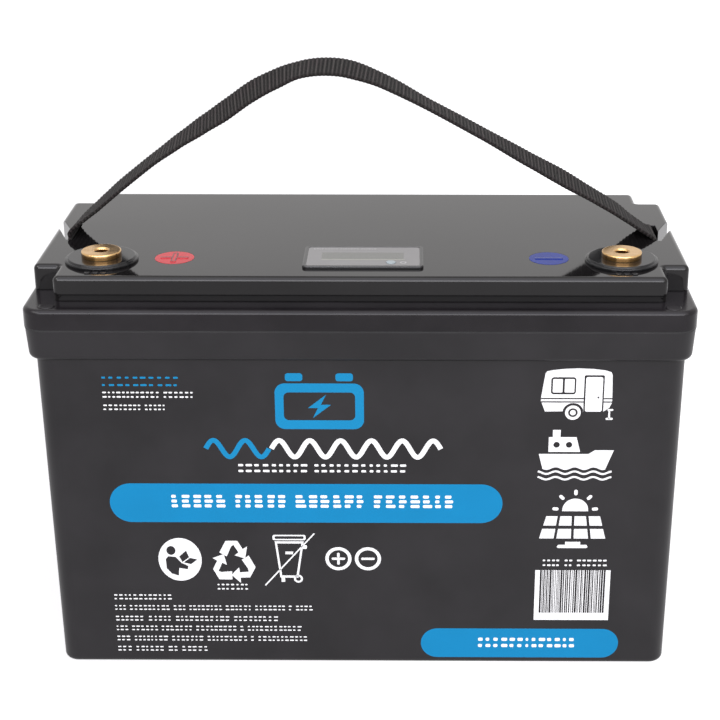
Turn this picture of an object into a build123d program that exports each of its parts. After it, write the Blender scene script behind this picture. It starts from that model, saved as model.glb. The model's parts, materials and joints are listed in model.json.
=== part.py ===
from build123d import *
from math import radians, sin, tan
import os

# Deep cycle lithium battery with a webbing carrying strap.
#
# Millimetres.  X runs along the case, the front face looks towards -Y, +Z is up and the
# origin is the middle of the base.  The case is a drafted container closed by a lid; the lid
# carries a glossy top cover with notched corners, two brass terminals and a charge meter.

os.makedirs("parts", exist_ok=True)

# ---------------------------------------------------------------- driving dimensions
# case
case_length = 330.0
case_width = 172.0
wall_draft = 0.55
wall = 3.2
floor_z = 3.0
body_half_x = 161.0
body_half_y = 81.6
band_bottom_z = 173.9
seam_z = 190.2
ledge_z = 200.7
rim_corner = 10.0
body_corner = 8.0
base_fillet = 2.8
seam_step = 0.25
seam_chamfer = 0.35
band_draft = 4.0
band_fillet = 3.0
rim_wall = 5.0
deck_thickness = 3.0
rim_fillet = 2.4

# top cover
cover_bottom_z = 204.4
cover_top_z = 213.8
cover_half_x = 163.6
cover_half_y = 73.9
notch_half_x = 150.5
notch_half_y = 55.3
cover_corner = 3.0
notch_corner = 1.6
cover_top_fillet = 2.7
cover_bottom_fillet = 0.4
skirt_half_y = 72.0
skirt_lap = 2.0
cover_skin = 3.5
cavity_half_x = 144.0
cavity_half_y = 68.5
cavity_corner = 4.0
rib_gap = 0.2
rib_thickness = 1.0
rib_height = 1.6

# lid fixings
fixing_x = 152.6
fixing_y = 79.6
fixing_boss_r = 5.0
fixing_boss_height = 11.0
pilot_depth = 10.5
screw_r = 2.0
screw_clearance = 0.2
screw_head_r = 3.4
screw_head_height = 3.0
screw_head_sink = 6.0
screw_length = 14.6
hex_key_r = 1.6
plug_r = 3.9
plug_length = 2.5
plug_proud = 0.35
plug_fillet = 0.3
gasket_width = 1.8
gasket_height = 1.5
gasket_inset = 2.5

# terminals
terminal_x = 130.4
terminal_y = -46.9
terminal_top_z = 219.1
terminal_fillet = 0.6
collar_top_z = 216.1
collar_r = 18.3
collar_step_r = 17.1
collar_step_height = 0.8
collar_fillet = 0.5
boss_r = 12.0
insert_flange_r = 10.0
insert_barrel_r = 8.0
insert_bottom_z = 192.0
fit_gap = 0.05
thread_core_r = 3.4
thread_depth = 14.0
mouth_chamfer = 0.7
stud_r = 4.0
stud_bottom_z = 178.0
seal_inner_r = 13.0
seal_outer_r = 15.5
seal_height = 1.0
lug_thickness = 2.5
lug_ring_r = 8.0
lug_barrel_r = 4.75
lug_barrel_length = 14.0
lug_barrel_floor = 3.0
lug_reach = 11.0
lug_lap = 1.0
nut_flats = 13.0
nut_height = 6.5

# polarity discs
mark_x = 94.3
mark_y = -43.3
mark_r = 9.9
mark_depth = 0.5
mark_proud = 0.05
symbol_length = 14.0
symbol_width = 2.6
symbol_corner = 0.6
symbol_proud = 0.35

# meter
meter_x = 1.0
meter_y = -44.2
meter_length = 60.2
meter_width = 32.4
meter_proud = 1.4
meter_corner = 2.5
meter_fillet = 0.5
meter_body_length = 56.6
meter_body_width = 28.8
meter_body_height = 10.1
meter_body_gap = 0.1
meter_wall = 1.6
window_length = 56.4
window_width = 29.4
window_thickness = 0.8
window_corner = 1.5
window_sink = 0.15
lcd_length = 44.0
lcd_width = 11.0
lcd_height = 2.2
lcd_x = 0.6
lcd_y = -43.2
meter_board_height = 6.1
meter_board_thickness = 1.6
meter_board_gap = 0.2
switch_height = 2.0
switch_size = 4.0
meter_socket_x = 21.0
meter_socket_length = 6.0
meter_socket_width = 8.0
meter_socket_height = 3.0
meter_wire_hole_r = 4.0
meter_wire_spacing = 2.4
meter_wire_run_z = 176.0
meter_wire_end_y = 20.0
meter_wire_bend = 8.0
button_x = 14.9
button_y = -53.7
button_r = 2.4
button_gap = 0.15
button_travel = 0.5
button_proud = 0.35
button_fillet = 0.3
button_flange = 0.7
button_flange_height = 0.8
switch_gap = 0.1

# strap
strap_width = 25.0
strap_thickness = 1.8
slot_inner_x = 151.0
slot_outer_x = 155.4
slot_front_y = -13.5
slot_rear_y = 13.2
slit_mouth_x = 165.0
slit_mouth_front_y = 12.9
slit_mouth_rear_y = 26.7
slit_heel_y = -0.7
strap_slot_x = 153.2
pivot_z = 226.7
hinge_left_x = -141.5
hinge_right_x = 134.5
hinge_gap = 0.5
hinge_overrun = 3.0
bend_rise = 1.6
bend_radius = 4.0
stop_length = 34.0
stop_depth = 7.0
stop_corner = 1.0
stop_bottom_z = 200.9
stop_top_z = 204.2
pocket_inner_x = 147.0
pocket_outer_x = 158.8
pocket_half_y = 19.0

# cell pack
cell_r = 13.0
cell_height = 65.0
cell_button_r = 6.0
cell_button_height = 1.0
cell_pitch = 27.2
cell_rows = 6
cell_columns = 10
holder_length = 290.0
holder_width = 148.0
holder_height = 8.0
holder_corner = 6.0
foam_thickness = 2.0
sheet_thickness = 0.6
plate_thickness = 0.5
middle_sheet_thickness = 1.5
top_sheet_thickness = 1.0
strip_width = 10.0
tab_x = -144.0
tab_length = 22.0
link_x = 60.0
link_length = 30.0
link_width = 8.0
end_pad_x = 149.9
end_pad_depth = 9.0
end_pad_bottom_z = 10.0
end_pad_height = 120.0
right_pad_width = 120.0
left_pad_width = 26.0
left_pad_front_y = -45.0
left_pad_rear_y = 58.0
block_x = 110.0
block_y = 58.0
block_length = 40.0
block_width = 24.0

# protection board
board_length = 140.0
board_width = 80.0
board_thickness = 1.6
board_corner = 2.0
board_hole_r = 1.6
tray_margin_x = 10.0
tray_margin_y = 5.0
tray_corner = 4.0
tray_thickness = 2.0
post_inset = 6.0
post_height = 6.0
post_r = 3.5
post_pilot_r = 1.25
board_screw_r = 1.2
board_screw_length = 6.5
board_screw_head_r = 2.8
board_screw_head_height = 2.0
transistor_size = (9.0, 10.0, 4.5)
transistor_columns = 8
transistor_pitch = 14.0
transistor_rows_y = (-24.0, -8.0)
heatsink_length = 118.0
heatsink_width = 34.0
heatsink_y = -16.0
heatsink_base = 2.0
heatsink_height = 9.0
fin_count = 9
fin_pitch = 4.0
fin_thickness = 1.2
connector_x = 20.0
connector_y = 32.0
connector_size = (20.0, 7.0, 8.0)
bus_x = 62.0
bus_y = 12.0
bus_size = (12.0, 14.0, 10.0)
lead_height = 5.0
sensor_place = (-30.0, 52.0)
sensor_size = (10.0, 5.0, 4.0)

# cables
cable_r = 3.5
side_cable_x = -150.6
wire_r = 0.8
harness_count = 5
harness_pitch = 3.0
harness_y = 75.2
harness_height = 3.0
harness_bend = 4.0
tap_step = 2.0
riser_top_z = 165.0
riser_front_y = 8.0
riser_bends = [14.0, 10.0]
drop_bends = [14.0, 12.0]
return_out_x = -100.0
return_in_x = -80.0
return_bends = [16.0, 12.0, 10.0]

# ---------------------------------------------------------------- worked out once
draft_growth = tan(radians(wall_draft))
base_half_x = body_half_x - band_bottom_z * draft_growth
base_half_y = body_half_y - band_bottom_z * draft_growth
row_pitch = cell_pitch * sin(radians(60))
first_cell_x = -(cell_columns - 0.5) * cell_pitch / 2

pad_top_z = floor_z + foam_thickness
lower_plate_z = pad_top_z + sheet_thickness
lower_cell_z = lower_plate_z + plate_thickness
lower_top_z = lower_cell_z + cell_height
middle_sheet_z = lower_top_z + plate_thickness
upper_plate_z = middle_sheet_z + middle_sheet_thickness
upper_cell_z = upper_plate_z + plate_thickness
upper_top_z = upper_cell_z + cell_height
top_sheet_z = upper_top_z + plate_thickness
tray_z = top_sheet_z + top_sheet_thickness
board_z = tray_z + tray_thickness + post_height
board_top_z = board_z + board_thickness
lead_z = board_top_z + lead_height
meter_board_z = cover_top_z - meter_board_height
window_top_z = cover_top_z + meter_proud - window_sink
window_bottom_z = window_top_z - window_thickness


def save(builder, name):
    """Label one finished piece and write it out."""
    builder.part.label = name
    export_step(builder.part, f"parts/{name}.step")


# ---------------------------------------------------------------- shared outlines
def notched_outline(half_y):
    """Outline of the top cover with its four notched corners, half_y deep to each side."""
    with BuildSketch(mode=Mode.PRIVATE) as outline:
        with BuildLine():
            Polyline(
                (0, half_y),
                (notch_half_x, half_y),
                (notch_half_x, notch_half_y),
                (cover_half_x, notch_half_y),
                (cover_half_x, 0),
            )
            mirror(about=Plane.XZ)
            mirror(about=Plane.YZ)
        make_face()
        outer_corners = [
            v for v in outline.vertices()
            if abs(abs(v.X) - notch_half_x) < 0.1 and abs(abs(v.Y) - half_y) < 0.1
            or abs(abs(v.X) - cover_half_x) < 0.1 and abs(abs(v.Y) - notch_half_y) < 0.1
        ]
        fillet(outer_corners, cover_corner)
        inner_corners = [
            v for v in outline.vertices()
            if abs(abs(v.X) - notch_half_x) < 0.1 and abs(abs(v.Y) - notch_half_y) < 0.1
        ]
        fillet(inner_corners, notch_corner)
    return outline.sketch


def gasket_outline():
    """Closed ring that follows the rim of the case."""
    with BuildSketch(mode=Mode.PRIVATE) as outline:
        RectangleRounded(
            case_length - 2 * gasket_inset + gasket_width,
            case_width - 2 * gasket_inset + gasket_width,
            rim_corner - gasket_inset + gasket_width / 2,
        )
        RectangleRounded(
            case_length - 2 * gasket_inset - gasket_width,
            case_width - 2 * gasket_inset - gasket_width,
            rim_corner - gasket_inset - gasket_width / 2,
            mode=Mode.SUBTRACT,
        )
    return outline.sketch


def seal_outline():
    """Ring under each terminal's collar."""
    with BuildSketch(mode=Mode.PRIVATE) as outline:
        with Locations(*terminal_points):
            Circle(seal_outer_r)
            Circle(seal_inner_r, mode=Mode.SUBTRACT)
    return outline.sketch


# The slit runs slantwise from the end of the cover into the strap slot.
slit = [
    (slot_outer_x - 0.4, slot_front_y),
    (slit_mouth_x, slit_mouth_front_y),
    (slit_mouth_x, slit_mouth_rear_y),
    (slot_outer_x - 1.4, slit_heel_y),
    (slot_outer_x - 1.4, slot_front_y),
]
fixing_points = [(sx * fixing_x, sy * fixing_y) for sx in (-1, 1) for sy in (-1, 1)]
terminal_points = [(-terminal_x, terminal_y), (terminal_x, terminal_y)]


# ---------------------------------------------------------------- container
with BuildPart() as container:
    with BuildSketch():
        RectangleRounded(2 * base_half_x, 2 * base_half_y, body_corner)
    extrude(amount=seam_z, taper=-wall_draft)
    fillet(container.faces().sort_by(Axis.Z)[0].edges(), base_fillet)
    with BuildSketch(Plane.XY.offset(seam_z)):
        RectangleRounded(case_length - 2 * seam_step, case_width - 2 * seam_step, rim_corner)
    extrude(amount=band_bottom_z - seam_z, taper=band_draft)
    band_underside = container.faces().filter_by(Plane.XY).filter_by(
        lambda face: abs(face.center().Z - band_bottom_z) < 0.1
    )
    fillet(band_underside.sort_by(SortBy.AREA)[-1].outer_wire().edges(), band_fillet)
    chamfer(container.faces().sort_by(Axis.Z)[-1].edges(), seam_chamfer)
    with BuildSketch(Plane.XY.offset(floor_z)):
        inner_growth = floor_z * draft_growth - wall
        RectangleRounded(
            2 * (base_half_x + inner_growth), 2 * (base_half_y + inner_growth), body_corner - wall
        )
    extrude(amount=seam_z - floor_z, taper=-wall_draft, mode=Mode.SUBTRACT)
    with BuildSketch(Plane.XY.offset(seam_z)):
        with Locations(*fixing_points):
            Circle(fixing_boss_r)
    extrude(amount=-fixing_boss_height)
    with BuildSketch(Plane.XY.offset(seam_z)):
        add(gasket_outline())
    extrude(amount=-gasket_height, mode=Mode.SUBTRACT)
    with BuildSketch(Plane.XY.offset(seam_z)):
        with Locations(*fixing_points):
            Circle(screw_r)
    extrude(amount=-pilot_depth, mode=Mode.SUBTRACT)
save(container, "container")

with BuildPart() as lid_gasket:
    with BuildSketch(Plane.XY.offset(seam_z)):
        add(gasket_outline())
    extrude(amount=-gasket_height)
save(lid_gasket, "lid_gasket")


# ---------------------------------------------------------------- lid
with BuildPart() as lid:
    with BuildSketch(Plane.XY.offset(seam_z)):
        RectangleRounded(case_length, case_width, rim_corner)
    extrude(amount=ledge_z - seam_z)
    fillet(lid.faces().sort_by(Axis.Z)[-1].edges(), rim_fillet)
    chamfer(lid.faces().sort_by(Axis.Z)[0].edges(), seam_chamfer)
    with BuildSketch(Plane.XY.offset(seam_z)):
        RectangleRounded(
            case_length - 2 * rim_wall, case_width - 2 * rim_wall, rim_corner - rim_wall
        )
    extrude(amount=ledge_z - deck_thickness - seam_z, mode=Mode.SUBTRACT)
    with BuildSketch(Plane.XY.offset(seam_z)):
        with Locations(*fixing_points):
            Circle(fixing_boss_r)
    extrude(amount=ledge_z - deck_thickness - seam_z)
    with BuildSketch(Plane.XY.offset(ledge_z)):
        RectangleRounded(
            2 * (cavity_half_x - rib_gap), 2 * (cavity_half_y - rib_gap), cavity_corner - rib_gap
        )
        RectangleRounded(
            2 * (cavity_half_x - rib_gap - rib_thickness),
            2 * (cavity_half_y - rib_gap - rib_thickness),
            cavity_corner - rib_gap - rib_thickness,
            mode=Mode.SUBTRACT,
        )
    extrude(amount=rib_height)
    with BuildSketch(Plane.XY.offset(ledge_z - deck_thickness)):
        with Locations(*terminal_points):
            Circle(boss_r)
    extrude(amount=cover_top_z - ledge_z + deck_thickness)
    with BuildSketch(Plane.XY.offset(ledge_z - deck_thickness)):
        with Locations(*terminal_points):
            Circle(insert_barrel_r + fit_gap)
    extrude(amount=cover_top_z - ledge_z + deck_thickness, mode=Mode.SUBTRACT)
    with BuildSketch(Plane.XY.offset(seam_z)):
        with Locations(*fixing_points):
            Circle(screw_r + screw_clearance)
    extrude(amount=ledge_z - seam_z, mode=Mode.SUBTRACT)
    with BuildSketch(Plane.XY.offset(ledge_z)):
        with Locations(*fixing_points):
            Circle(plug_r)
    extrude(amount=-screw_head_sink, mode=Mode.SUBTRACT)
    with BuildSketch(Plane.XY.offset(ledge_z)):
        with Locations((meter_socket_x, meter_y)):
            Circle(meter_wire_hole_r)
    extrude(amount=-deck_thickness, mode=Mode.SUBTRACT)
save(lid, "lid")

with BuildPart() as lid_screws:
    head_z = ledge_z - screw_head_sink
    with Locations(*[(x, y, head_z) for x, y in fixing_points]):
        Cylinder(screw_head_r, screw_head_height, align=(Align.CENTER, Align.CENTER, Align.MIN))
        Cylinder(
            screw_r - fit_gap, screw_length, align=(Align.CENTER, Align.CENTER, Align.MAX)
        )
    with BuildSketch(Plane.XY.offset(head_z + screw_head_height)):
        with Locations(*fixing_points):
            RegularPolygon(hex_key_r, 6)
    extrude(amount=-hex_key_r, mode=Mode.SUBTRACT)
save(lid_screws, "lid_screws")

with BuildPart() as screw_plugs:
    with BuildSketch(Plane.XY.offset(ledge_z - plug_length)):
        with Locations(*fixing_points):
            Circle(plug_r)
    extrude(amount=plug_length + plug_proud)
    fillet(screw_plugs.edges().group_by(Axis.Z)[-1], plug_fillet)
save(screw_plugs, "screw_plugs")


# ---------------------------------------------------------------- top cover
with BuildPart() as top_cover:
    with BuildSketch(Plane.XY.offset(cover_bottom_z)):
        add(notched_outline(cover_half_y))
    extrude(amount=cover_top_z - cover_bottom_z)
    fillet(top_cover.faces().sort_by(Axis.Z)[-1].edges(), cover_top_fillet)
    fillet(top_cover.faces().sort_by(Axis.Z)[0].edges(), cover_bottom_fillet)
    with BuildSketch(Plane.XY.offset(ledge_z)):
        add(notched_outline(skirt_half_y))
    extrude(amount=cover_bottom_z + skirt_lap - ledge_z)
    with BuildSketch(Plane.XY.offset(ledge_z)):
        RectangleRounded(2 * cavity_half_x, 2 * cavity_half_y, cavity_corner)
    extrude(amount=cover_top_z - cover_skin - ledge_z, mode=Mode.SUBTRACT)
    with BuildSketch(Plane.XY.offset(ledge_z)):
        for side in (-1, 1):
            with Locations((side * (pocket_inner_x + pocket_outer_x) / 2, 0)):
                Rectangle(pocket_outer_x - pocket_inner_x, 2 * pocket_half_y)
    extrude(amount=cover_bottom_z - ledge_z, mode=Mode.SUBTRACT)
    with BuildSketch(Plane.XY.offset(ledge_z)):
        for side in (-1, 1):
            with Locations(
                (side * (slot_inner_x + slot_outer_x) / 2, (slot_front_y + slot_rear_y) / 2)
            ):
                Rectangle(slot_outer_x - slot_inner_x, slot_rear_y - slot_front_y)
            with BuildLine():
                Polyline(*[(side * x, y) for x, y in slit], close=True)
            make_face()
    extrude(amount=cover_top_z - ledge_z, mode=Mode.SUBTRACT)
    with BuildSketch(Plane.XY.offset(cover_top_z)):
        with Locations(*terminal_points):
            Circle(boss_r + fit_gap)
        with Locations((meter_x, meter_y)):
            Rectangle(meter_body_length + 2 * meter_body_gap, meter_body_width + 2 * meter_body_gap)
    extrude(amount=-cover_skin, mode=Mode.SUBTRACT)
    with BuildSketch(Plane.XY.offset(cover_top_z)):
        with Locations((-mark_x, mark_y), (mark_x, mark_y)):
            Circle(mark_r)
    extrude(amount=-mark_depth, mode=Mode.SUBTRACT)
save(top_cover, "top_cover")


# ---------------------------------------------------------------- polarity discs
def polarity_mark(x, arms):
    """Round coloured inlay with a raised bar, or two crossed bars."""
    with BuildPart() as mark:
        with BuildSketch(Plane.XY.offset(cover_top_z - mark_depth)):
            with Locations((x, mark_y)):
                Circle(mark_r)
        extrude(amount=mark_depth + mark_proud)
        with BuildSketch(Plane.XY.offset(cover_top_z)):
            for turn in arms:
                with Locations(Location((x, mark_y), turn)):
                    RectangleRounded(symbol_length, symbol_width, symbol_corner)
        extrude(amount=symbol_proud)
    return mark


save(polarity_mark(-mark_x, (0, 90)), "polarity_mark_positive")
save(polarity_mark(mark_x, (0,)), "polarity_mark_negative")


# ---------------------------------------------------------------- terminals
def terminal_insert(x):
    """Turned brass terminal: flange, barrel, lower stud and a blind tapped hole."""
    with BuildPart() as insert:
        with BuildSketch(Plane.XY.offset(collar_top_z)):
            with Locations((x, terminal_y)):
                Circle(insert_flange_r)
        extrude(amount=terminal_top_z - collar_top_z)
        fillet(insert.edges().group_by(Axis.Z)[-1], terminal_fillet)
        with BuildSketch(Plane.XY.offset(insert_bottom_z)):
            with Locations((x, terminal_y)):
                Circle(insert_barrel_r)
        extrude(amount=collar_top_z - insert_bottom_z)
        with BuildSketch(Plane.XY.offset(stud_bottom_z)):
            with Locations((x, terminal_y)):
                Circle(stud_r)
        extrude(amount=insert_bottom_z - stud_bottom_z)
        with BuildSketch(Plane.XY.offset(terminal_top_z)):
            with Locations((x, terminal_y)):
                Circle(thread_core_r)
        extrude(amount=-thread_depth, mode=Mode.SUBTRACT)
        mouth = insert.edges().filter_by(GeomType.CIRCLE).filter_by(
            lambda edge: abs(edge.radius - thread_core_r) < 0.01
        ).sort_by(Axis.Z)[-1]
        chamfer(mouth, mouth_chamfer)
    return insert


def terminal_collar(x):
    """Stepped black collar around the brass, with a recess below for its seal."""
    with BuildPart() as collar:
        with BuildSketch(Plane.XY.offset(cover_top_z)):
            with Locations((x, terminal_y)):
                Circle(collar_r)
        extrude(amount=collar_top_z - cover_top_z - collar_step_height)
        fillet(collar.edges().group_by(Axis.Z)[-1], collar_fillet)
        with BuildSketch(Plane.XY.offset(collar_top_z - collar_step_height)):
            with Locations((x, terminal_y)):
                Circle(collar_step_r)
        extrude(amount=collar_step_height)
        fillet(collar.edges().group_by(Axis.Z)[-1], collar_fillet)
        with BuildSketch(Plane.XY.offset(cover_top_z)):
            with Locations((x, terminal_y)):
                Circle(insert_barrel_r + fit_gap)
        extrude(amount=collar_top_z - cover_top_z, mode=Mode.SUBTRACT)
        with BuildSketch(Plane.XY.offset(cover_top_z)):
            add(seal_outline())
        extrude(amount=seal_height, mode=Mode.SUBTRACT)
    return collar


for x, sign in ((-terminal_x, "positive"), (terminal_x, "negative")):
    save(terminal_insert(x), f"terminal_insert_{sign}")
    save(terminal_collar(x), f"terminal_collar_{sign}")

with BuildPart() as terminal_seals:
    with BuildSketch(Plane.XY.offset(cover_top_z)):
        add(seal_outline())
    extrude(amount=seal_height)
save(terminal_seals, "terminal_seals")

lug_z = insert_bottom_z - lug_thickness
lug_axis_z = lug_z + lug_thickness / 2
lug_mouth_y = terminal_y + lug_reach + lug_barrel_floor

with BuildPart() as cable_lugs:
    with BuildSketch(Plane.XY.offset(lug_z)):
        with Locations(*terminal_points):
            Circle(lug_ring_r)
        for x, y in terminal_points:
            with Locations((x, y + lug_reach / 2)):
                Rectangle(2 * lug_barrel_r, lug_reach + lug_lap)
        with Locations(*terminal_points):
            Circle(stud_r + fit_gap, mode=Mode.SUBTRACT)
    extrude(amount=lug_thickness)
    for x, y in terminal_points:
        with BuildSketch(Plane.XZ.offset(-(y + lug_reach))):
            with Locations((x, lug_axis_z)):
                Circle(lug_barrel_r)
        extrude(amount=-lug_barrel_length)
        with BuildSketch(Plane.XZ.offset(-lug_mouth_y)):
            with Locations((x, lug_axis_z)):
                Circle(cable_r)
        extrude(amount=-lug_barrel_length, mode=Mode.SUBTRACT)
save(cable_lugs, "cable_lugs")

with BuildPart() as terminal_nuts:
    with BuildSketch(Plane.XY.offset(lug_z - nut_height)):
        with Locations(*terminal_points):
            RegularPolygon(nut_flats / 2, 6, major_radius=False)
            Circle(stud_r + fit_gap, mode=Mode.SUBTRACT)
    extrude(amount=nut_height)
save(terminal_nuts, "terminal_nuts")


# ---------------------------------------------------------------- meter
with BuildPart() as meter_bezel:
    with BuildSketch(Plane.XY.offset(cover_top_z)):
        with Locations((meter_x, meter_y)):
            RectangleRounded(meter_length, meter_width, meter_corner)
    extrude(amount=meter_proud)
    fillet(meter_bezel.faces().sort_by(Axis.Z)[-1].edges(), meter_fillet)
    with BuildSketch(Plane.XY.offset(cover_top_z)):
        with Locations((meter_x, meter_y)):
            Rectangle(meter_body_length, meter_body_width)
    extrude(amount=-meter_body_height)
    with BuildSketch(Plane.XY.offset(cover_top_z - meter_body_height)):
        with Locations((meter_x, meter_y)):
            Rectangle(meter_body_length - 2 * meter_wall, meter_body_width - 2 * meter_wall)
    extrude(amount=window_bottom_z - cover_top_z + meter_body_height, mode=Mode.SUBTRACT)
    with BuildSketch(Plane.XY.offset(window_bottom_z)):
        with Locations((meter_x, meter_y)):
            RectangleRounded(window_length, window_width, window_corner)
    extrude(amount=meter_proud, mode=Mode.SUBTRACT)
save(meter_bezel, "meter_bezel")

with BuildPart() as meter_window:
    with BuildSketch(Plane.XY.offset(window_bottom_z)):
        with Locations((meter_x, meter_y)):
            RectangleRounded(window_length, window_width, window_corner)
        with Locations((button_x, button_y)):
            Circle(button_r + button_gap, mode=Mode.SUBTRACT)
    extrude(amount=window_thickness)
save(meter_window, "meter_window")

with BuildPart() as meter_lcd:
    with BuildSketch(Plane.XY.offset(window_bottom_z)):
        with Locations((lcd_x, lcd_y)):
            Rectangle(lcd_length, lcd_width)
    extrude(amount=-lcd_height)
save(meter_lcd, "meter_lcd")

with BuildPart() as meter_board:
    with BuildSketch(Plane.XY.offset(meter_board_z)):
        with Locations((meter_x, meter_y)):
            Rectangle(
                meter_body_length - 2 * (meter_wall + meter_board_gap),
                meter_body_width - 2 * (meter_wall + meter_board_gap),
            )
    extrude(amount=meter_board_thickness)
    with BuildSketch(Plane.XY.offset(meter_board_z + meter_board_thickness)):
        with Locations((button_x, button_y)):
            Rectangle(switch_size, switch_size)
    extrude(amount=switch_height)
    with BuildSketch(Plane.XY.offset(meter_board_z)):
        with Locations((meter_socket_x, meter_y)):
            Rectangle(meter_socket_length, meter_socket_width)
    extrude(amount=-meter_socket_height)
save(meter_board, "meter_board")

with BuildPart() as meter_button:
    switch_top_z = meter_board_z + meter_board_thickness + switch_height
    stem_bottom_z = switch_top_z + button_travel + switch_gap
    with BuildSketch(Plane.XY.offset(stem_bottom_z)):
        with Locations((button_x, button_y)):
            Circle(button_r)
    extrude(amount=window_top_z + button_proud - stem_bottom_z)
    fillet(meter_button.edges().group_by(Axis.Z)[-1], button_fillet)
    with BuildSketch(Plane.XY.offset(stem_bottom_z)):
        with Locations((button_x, button_y)):
            Circle(button_r + button_flange)
    extrude(amount=button_flange_height)
save(meter_button, "meter_button")


# ---------------------------------------------------------------- carrying strap
arch = [
    (hinge_left_x, pivot_z),
    (-118.0, 247.4),
    (-84.0, 271.8),
    (-44.0, 296.6),
    (-22.0, 302.6),
    (-3.0, 299.7),
    (20.0, 289.3),
    (60.0, 267.9),
    (100.0, 245.3),
    (hinge_right_x, pivot_z),
]
arch_radii = [60.0, 150.0, 60.0, 30.0, 40.0, 60.0, 150.0, 200.0]


def slope_point(near, far, x):
    """Point at x on the line through near and far."""
    share = (x - near[0]) / (far[0] - near[0])
    return (x, near[1] + share * (far[1] - near[1]))


def webbing(points, radii):
    """Flat band of webbing along a route in the XZ plane."""
    with BuildPart(mode=Mode.PRIVATE) as band:
        with BuildSketch(Plane.XZ):
            with BuildLine():
                FilletPolyline(*points, radius=radii)
            trace(line_width=strap_thickness)
        extrude(amount=strap_width / 2, both=True)
    return band.part


with BuildPart() as handle_strap:
    left_end = slope_point(arch[0], arch[1], hinge_left_x - hinge_overrun)
    right_end = slope_point(arch[-1], arch[-2], hinge_right_x + hinge_overrun)
    add(webbing([left_end, *arch[1:-1], right_end], arch_radii))
    split(bisect_by=Plane.YZ.offset(hinge_left_x + hinge_gap / 2), keep=Keep.TOP)
    split(bisect_by=Plane.YZ.offset(hinge_right_x - hinge_gap / 2), keep=Keep.BOTTOM)
save(handle_strap, "handle_strap")


def strap_end(side, hinge_x, next_point):
    """Short length of webbing from the stop, up through the slot, to the fold line."""
    slot_x = side * strap_slot_x
    end = slope_point((hinge_x, pivot_z), next_point, hinge_x - side * hinge_overrun)
    keep = Keep.TOP if side > 0 else Keep.BOTTOM
    with BuildPart() as end_piece:
        add(webbing([(slot_x, stop_bottom_z), (slot_x, cover_top_z + bend_rise), end], [bend_radius]))
        split(bisect_by=Plane.YZ.offset(hinge_x + side * hinge_gap / 2), keep=keep)
    return end_piece


save(strap_end(-1, hinge_left_x, arch[1]), "strap_end_left")
save(strap_end(1, hinge_right_x, arch[-2]), "strap_end_right")

with BuildPart() as strap_stops:
    with BuildSketch(Plane.XY.offset(stop_bottom_z)):
        with Locations((-strap_slot_x, 0), (strap_slot_x, 0)):
            RectangleRounded(stop_depth, stop_length, stop_corner)
            Rectangle(strap_thickness, strap_width, mode=Mode.SUBTRACT)
    extrude(amount=stop_top_z - stop_bottom_z)
save(strap_stops, "strap_stops")


# ---------------------------------------------------------------- cell pack
def cell_centres(columns):
    """Centres of the staggered rows of cells for the given columns."""
    centres = []
    for row in range(cell_rows):
        for column in columns:
            x = first_cell_x + column * cell_pitch + (row % 2) * cell_pitch / 2
            centres.append((x, (row - (cell_rows - 1) / 2) * row_pitch))
    return centres


left_columns = range(cell_columns // 2)
right_columns = range(cell_columns // 2, cell_columns)


def cell_group(columns, z, button_up):
    """Thirty upright cells that stand side by side and work in parallel."""
    can_z = z if button_up else z + cell_button_height
    button_z = z + cell_height - cell_button_height if button_up else z
    with BuildPart() as group:
        with BuildSketch(Plane.XY.offset(can_z)):
            with Locations(*cell_centres(columns)):
                Circle(cell_r)
        extrude(amount=cell_height - cell_button_height)
        with BuildSketch(Plane.XY.offset(button_z)):
            with Locations(*cell_centres(columns)):
                Circle(cell_button_r)
        extrude(amount=cell_button_height)
    return group


save(cell_group(left_columns, lower_cell_z, False), "cell_group_1")
save(cell_group(right_columns, lower_cell_z, True), "cell_group_2")
save(cell_group(right_columns, upper_cell_z, True), "cell_group_3")
save(cell_group(left_columns, upper_cell_z, False), "cell_group_4")


def cell_holder(z):
    """Moulded tray with one round hole for each cell of a layer."""
    with BuildPart() as holder:
        with BuildSketch(Plane.XY.offset(z)):
            RectangleRounded(holder_length, holder_width, holder_corner)
            with Locations(*cell_centres(range(cell_columns))):
                Circle(cell_r + fit_gap, mode=Mode.SUBTRACT)
        extrude(amount=holder_height)
    return holder


holder_levels = [
    lower_cell_z,
    lower_top_z - holder_height,
    upper_cell_z,
    upper_top_z - holder_height,
]
for number, level in enumerate(holder_levels, start=1):
    save(cell_holder(level), f"cell_holder_{number}")


def nickel_plate(columns, z, tab=None):
    """Flat collector: one strip along each row of cells, tied together at the ends."""
    centres = cell_centres(columns)
    rows = sorted({y for _, y in centres})
    row_span = rows[-1] - rows[0]
    low_x = min(x for x, _ in centres)
    high_x = max(x for x, _ in centres)
    with BuildPart() as plate:
        with BuildSketch(Plane.XY.offset(z)):
            for y in rows:
                row_x = [x for x, centre_y in centres if centre_y == y]
                with Locations(((min(row_x) + max(row_x)) / 2, y)):
                    Rectangle(max(row_x) - min(row_x) + strip_width, strip_width)
            for x in (low_x + cell_pitch / 2, high_x - cell_pitch / 2):
                with Locations((x, 0)):
                    Rectangle(strip_width, row_span)
            if tab:
                with Locations(tab):
                    Rectangle(tab_length, strip_width)
        extrude(amount=plate_thickness)
    return plate


positive_tab_y = -row_pitch / 2
negative_tab_y = 1.5 * row_pitch
save(nickel_plate(range(cell_columns), lower_plate_z), "series_plate_lower")
save(nickel_plate(range(cell_columns), upper_top_z), "series_plate_upper")
save(nickel_plate(left_columns, lower_top_z, (tab_x, negative_tab_y)), "negative_plate")
save(nickel_plate(left_columns, upper_plate_z, (tab_x, positive_tab_y)), "positive_plate")
save(nickel_plate(right_columns, lower_top_z), "link_plate_lower")
save(nickel_plate(right_columns, upper_plate_z), "link_plate_upper")

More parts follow.
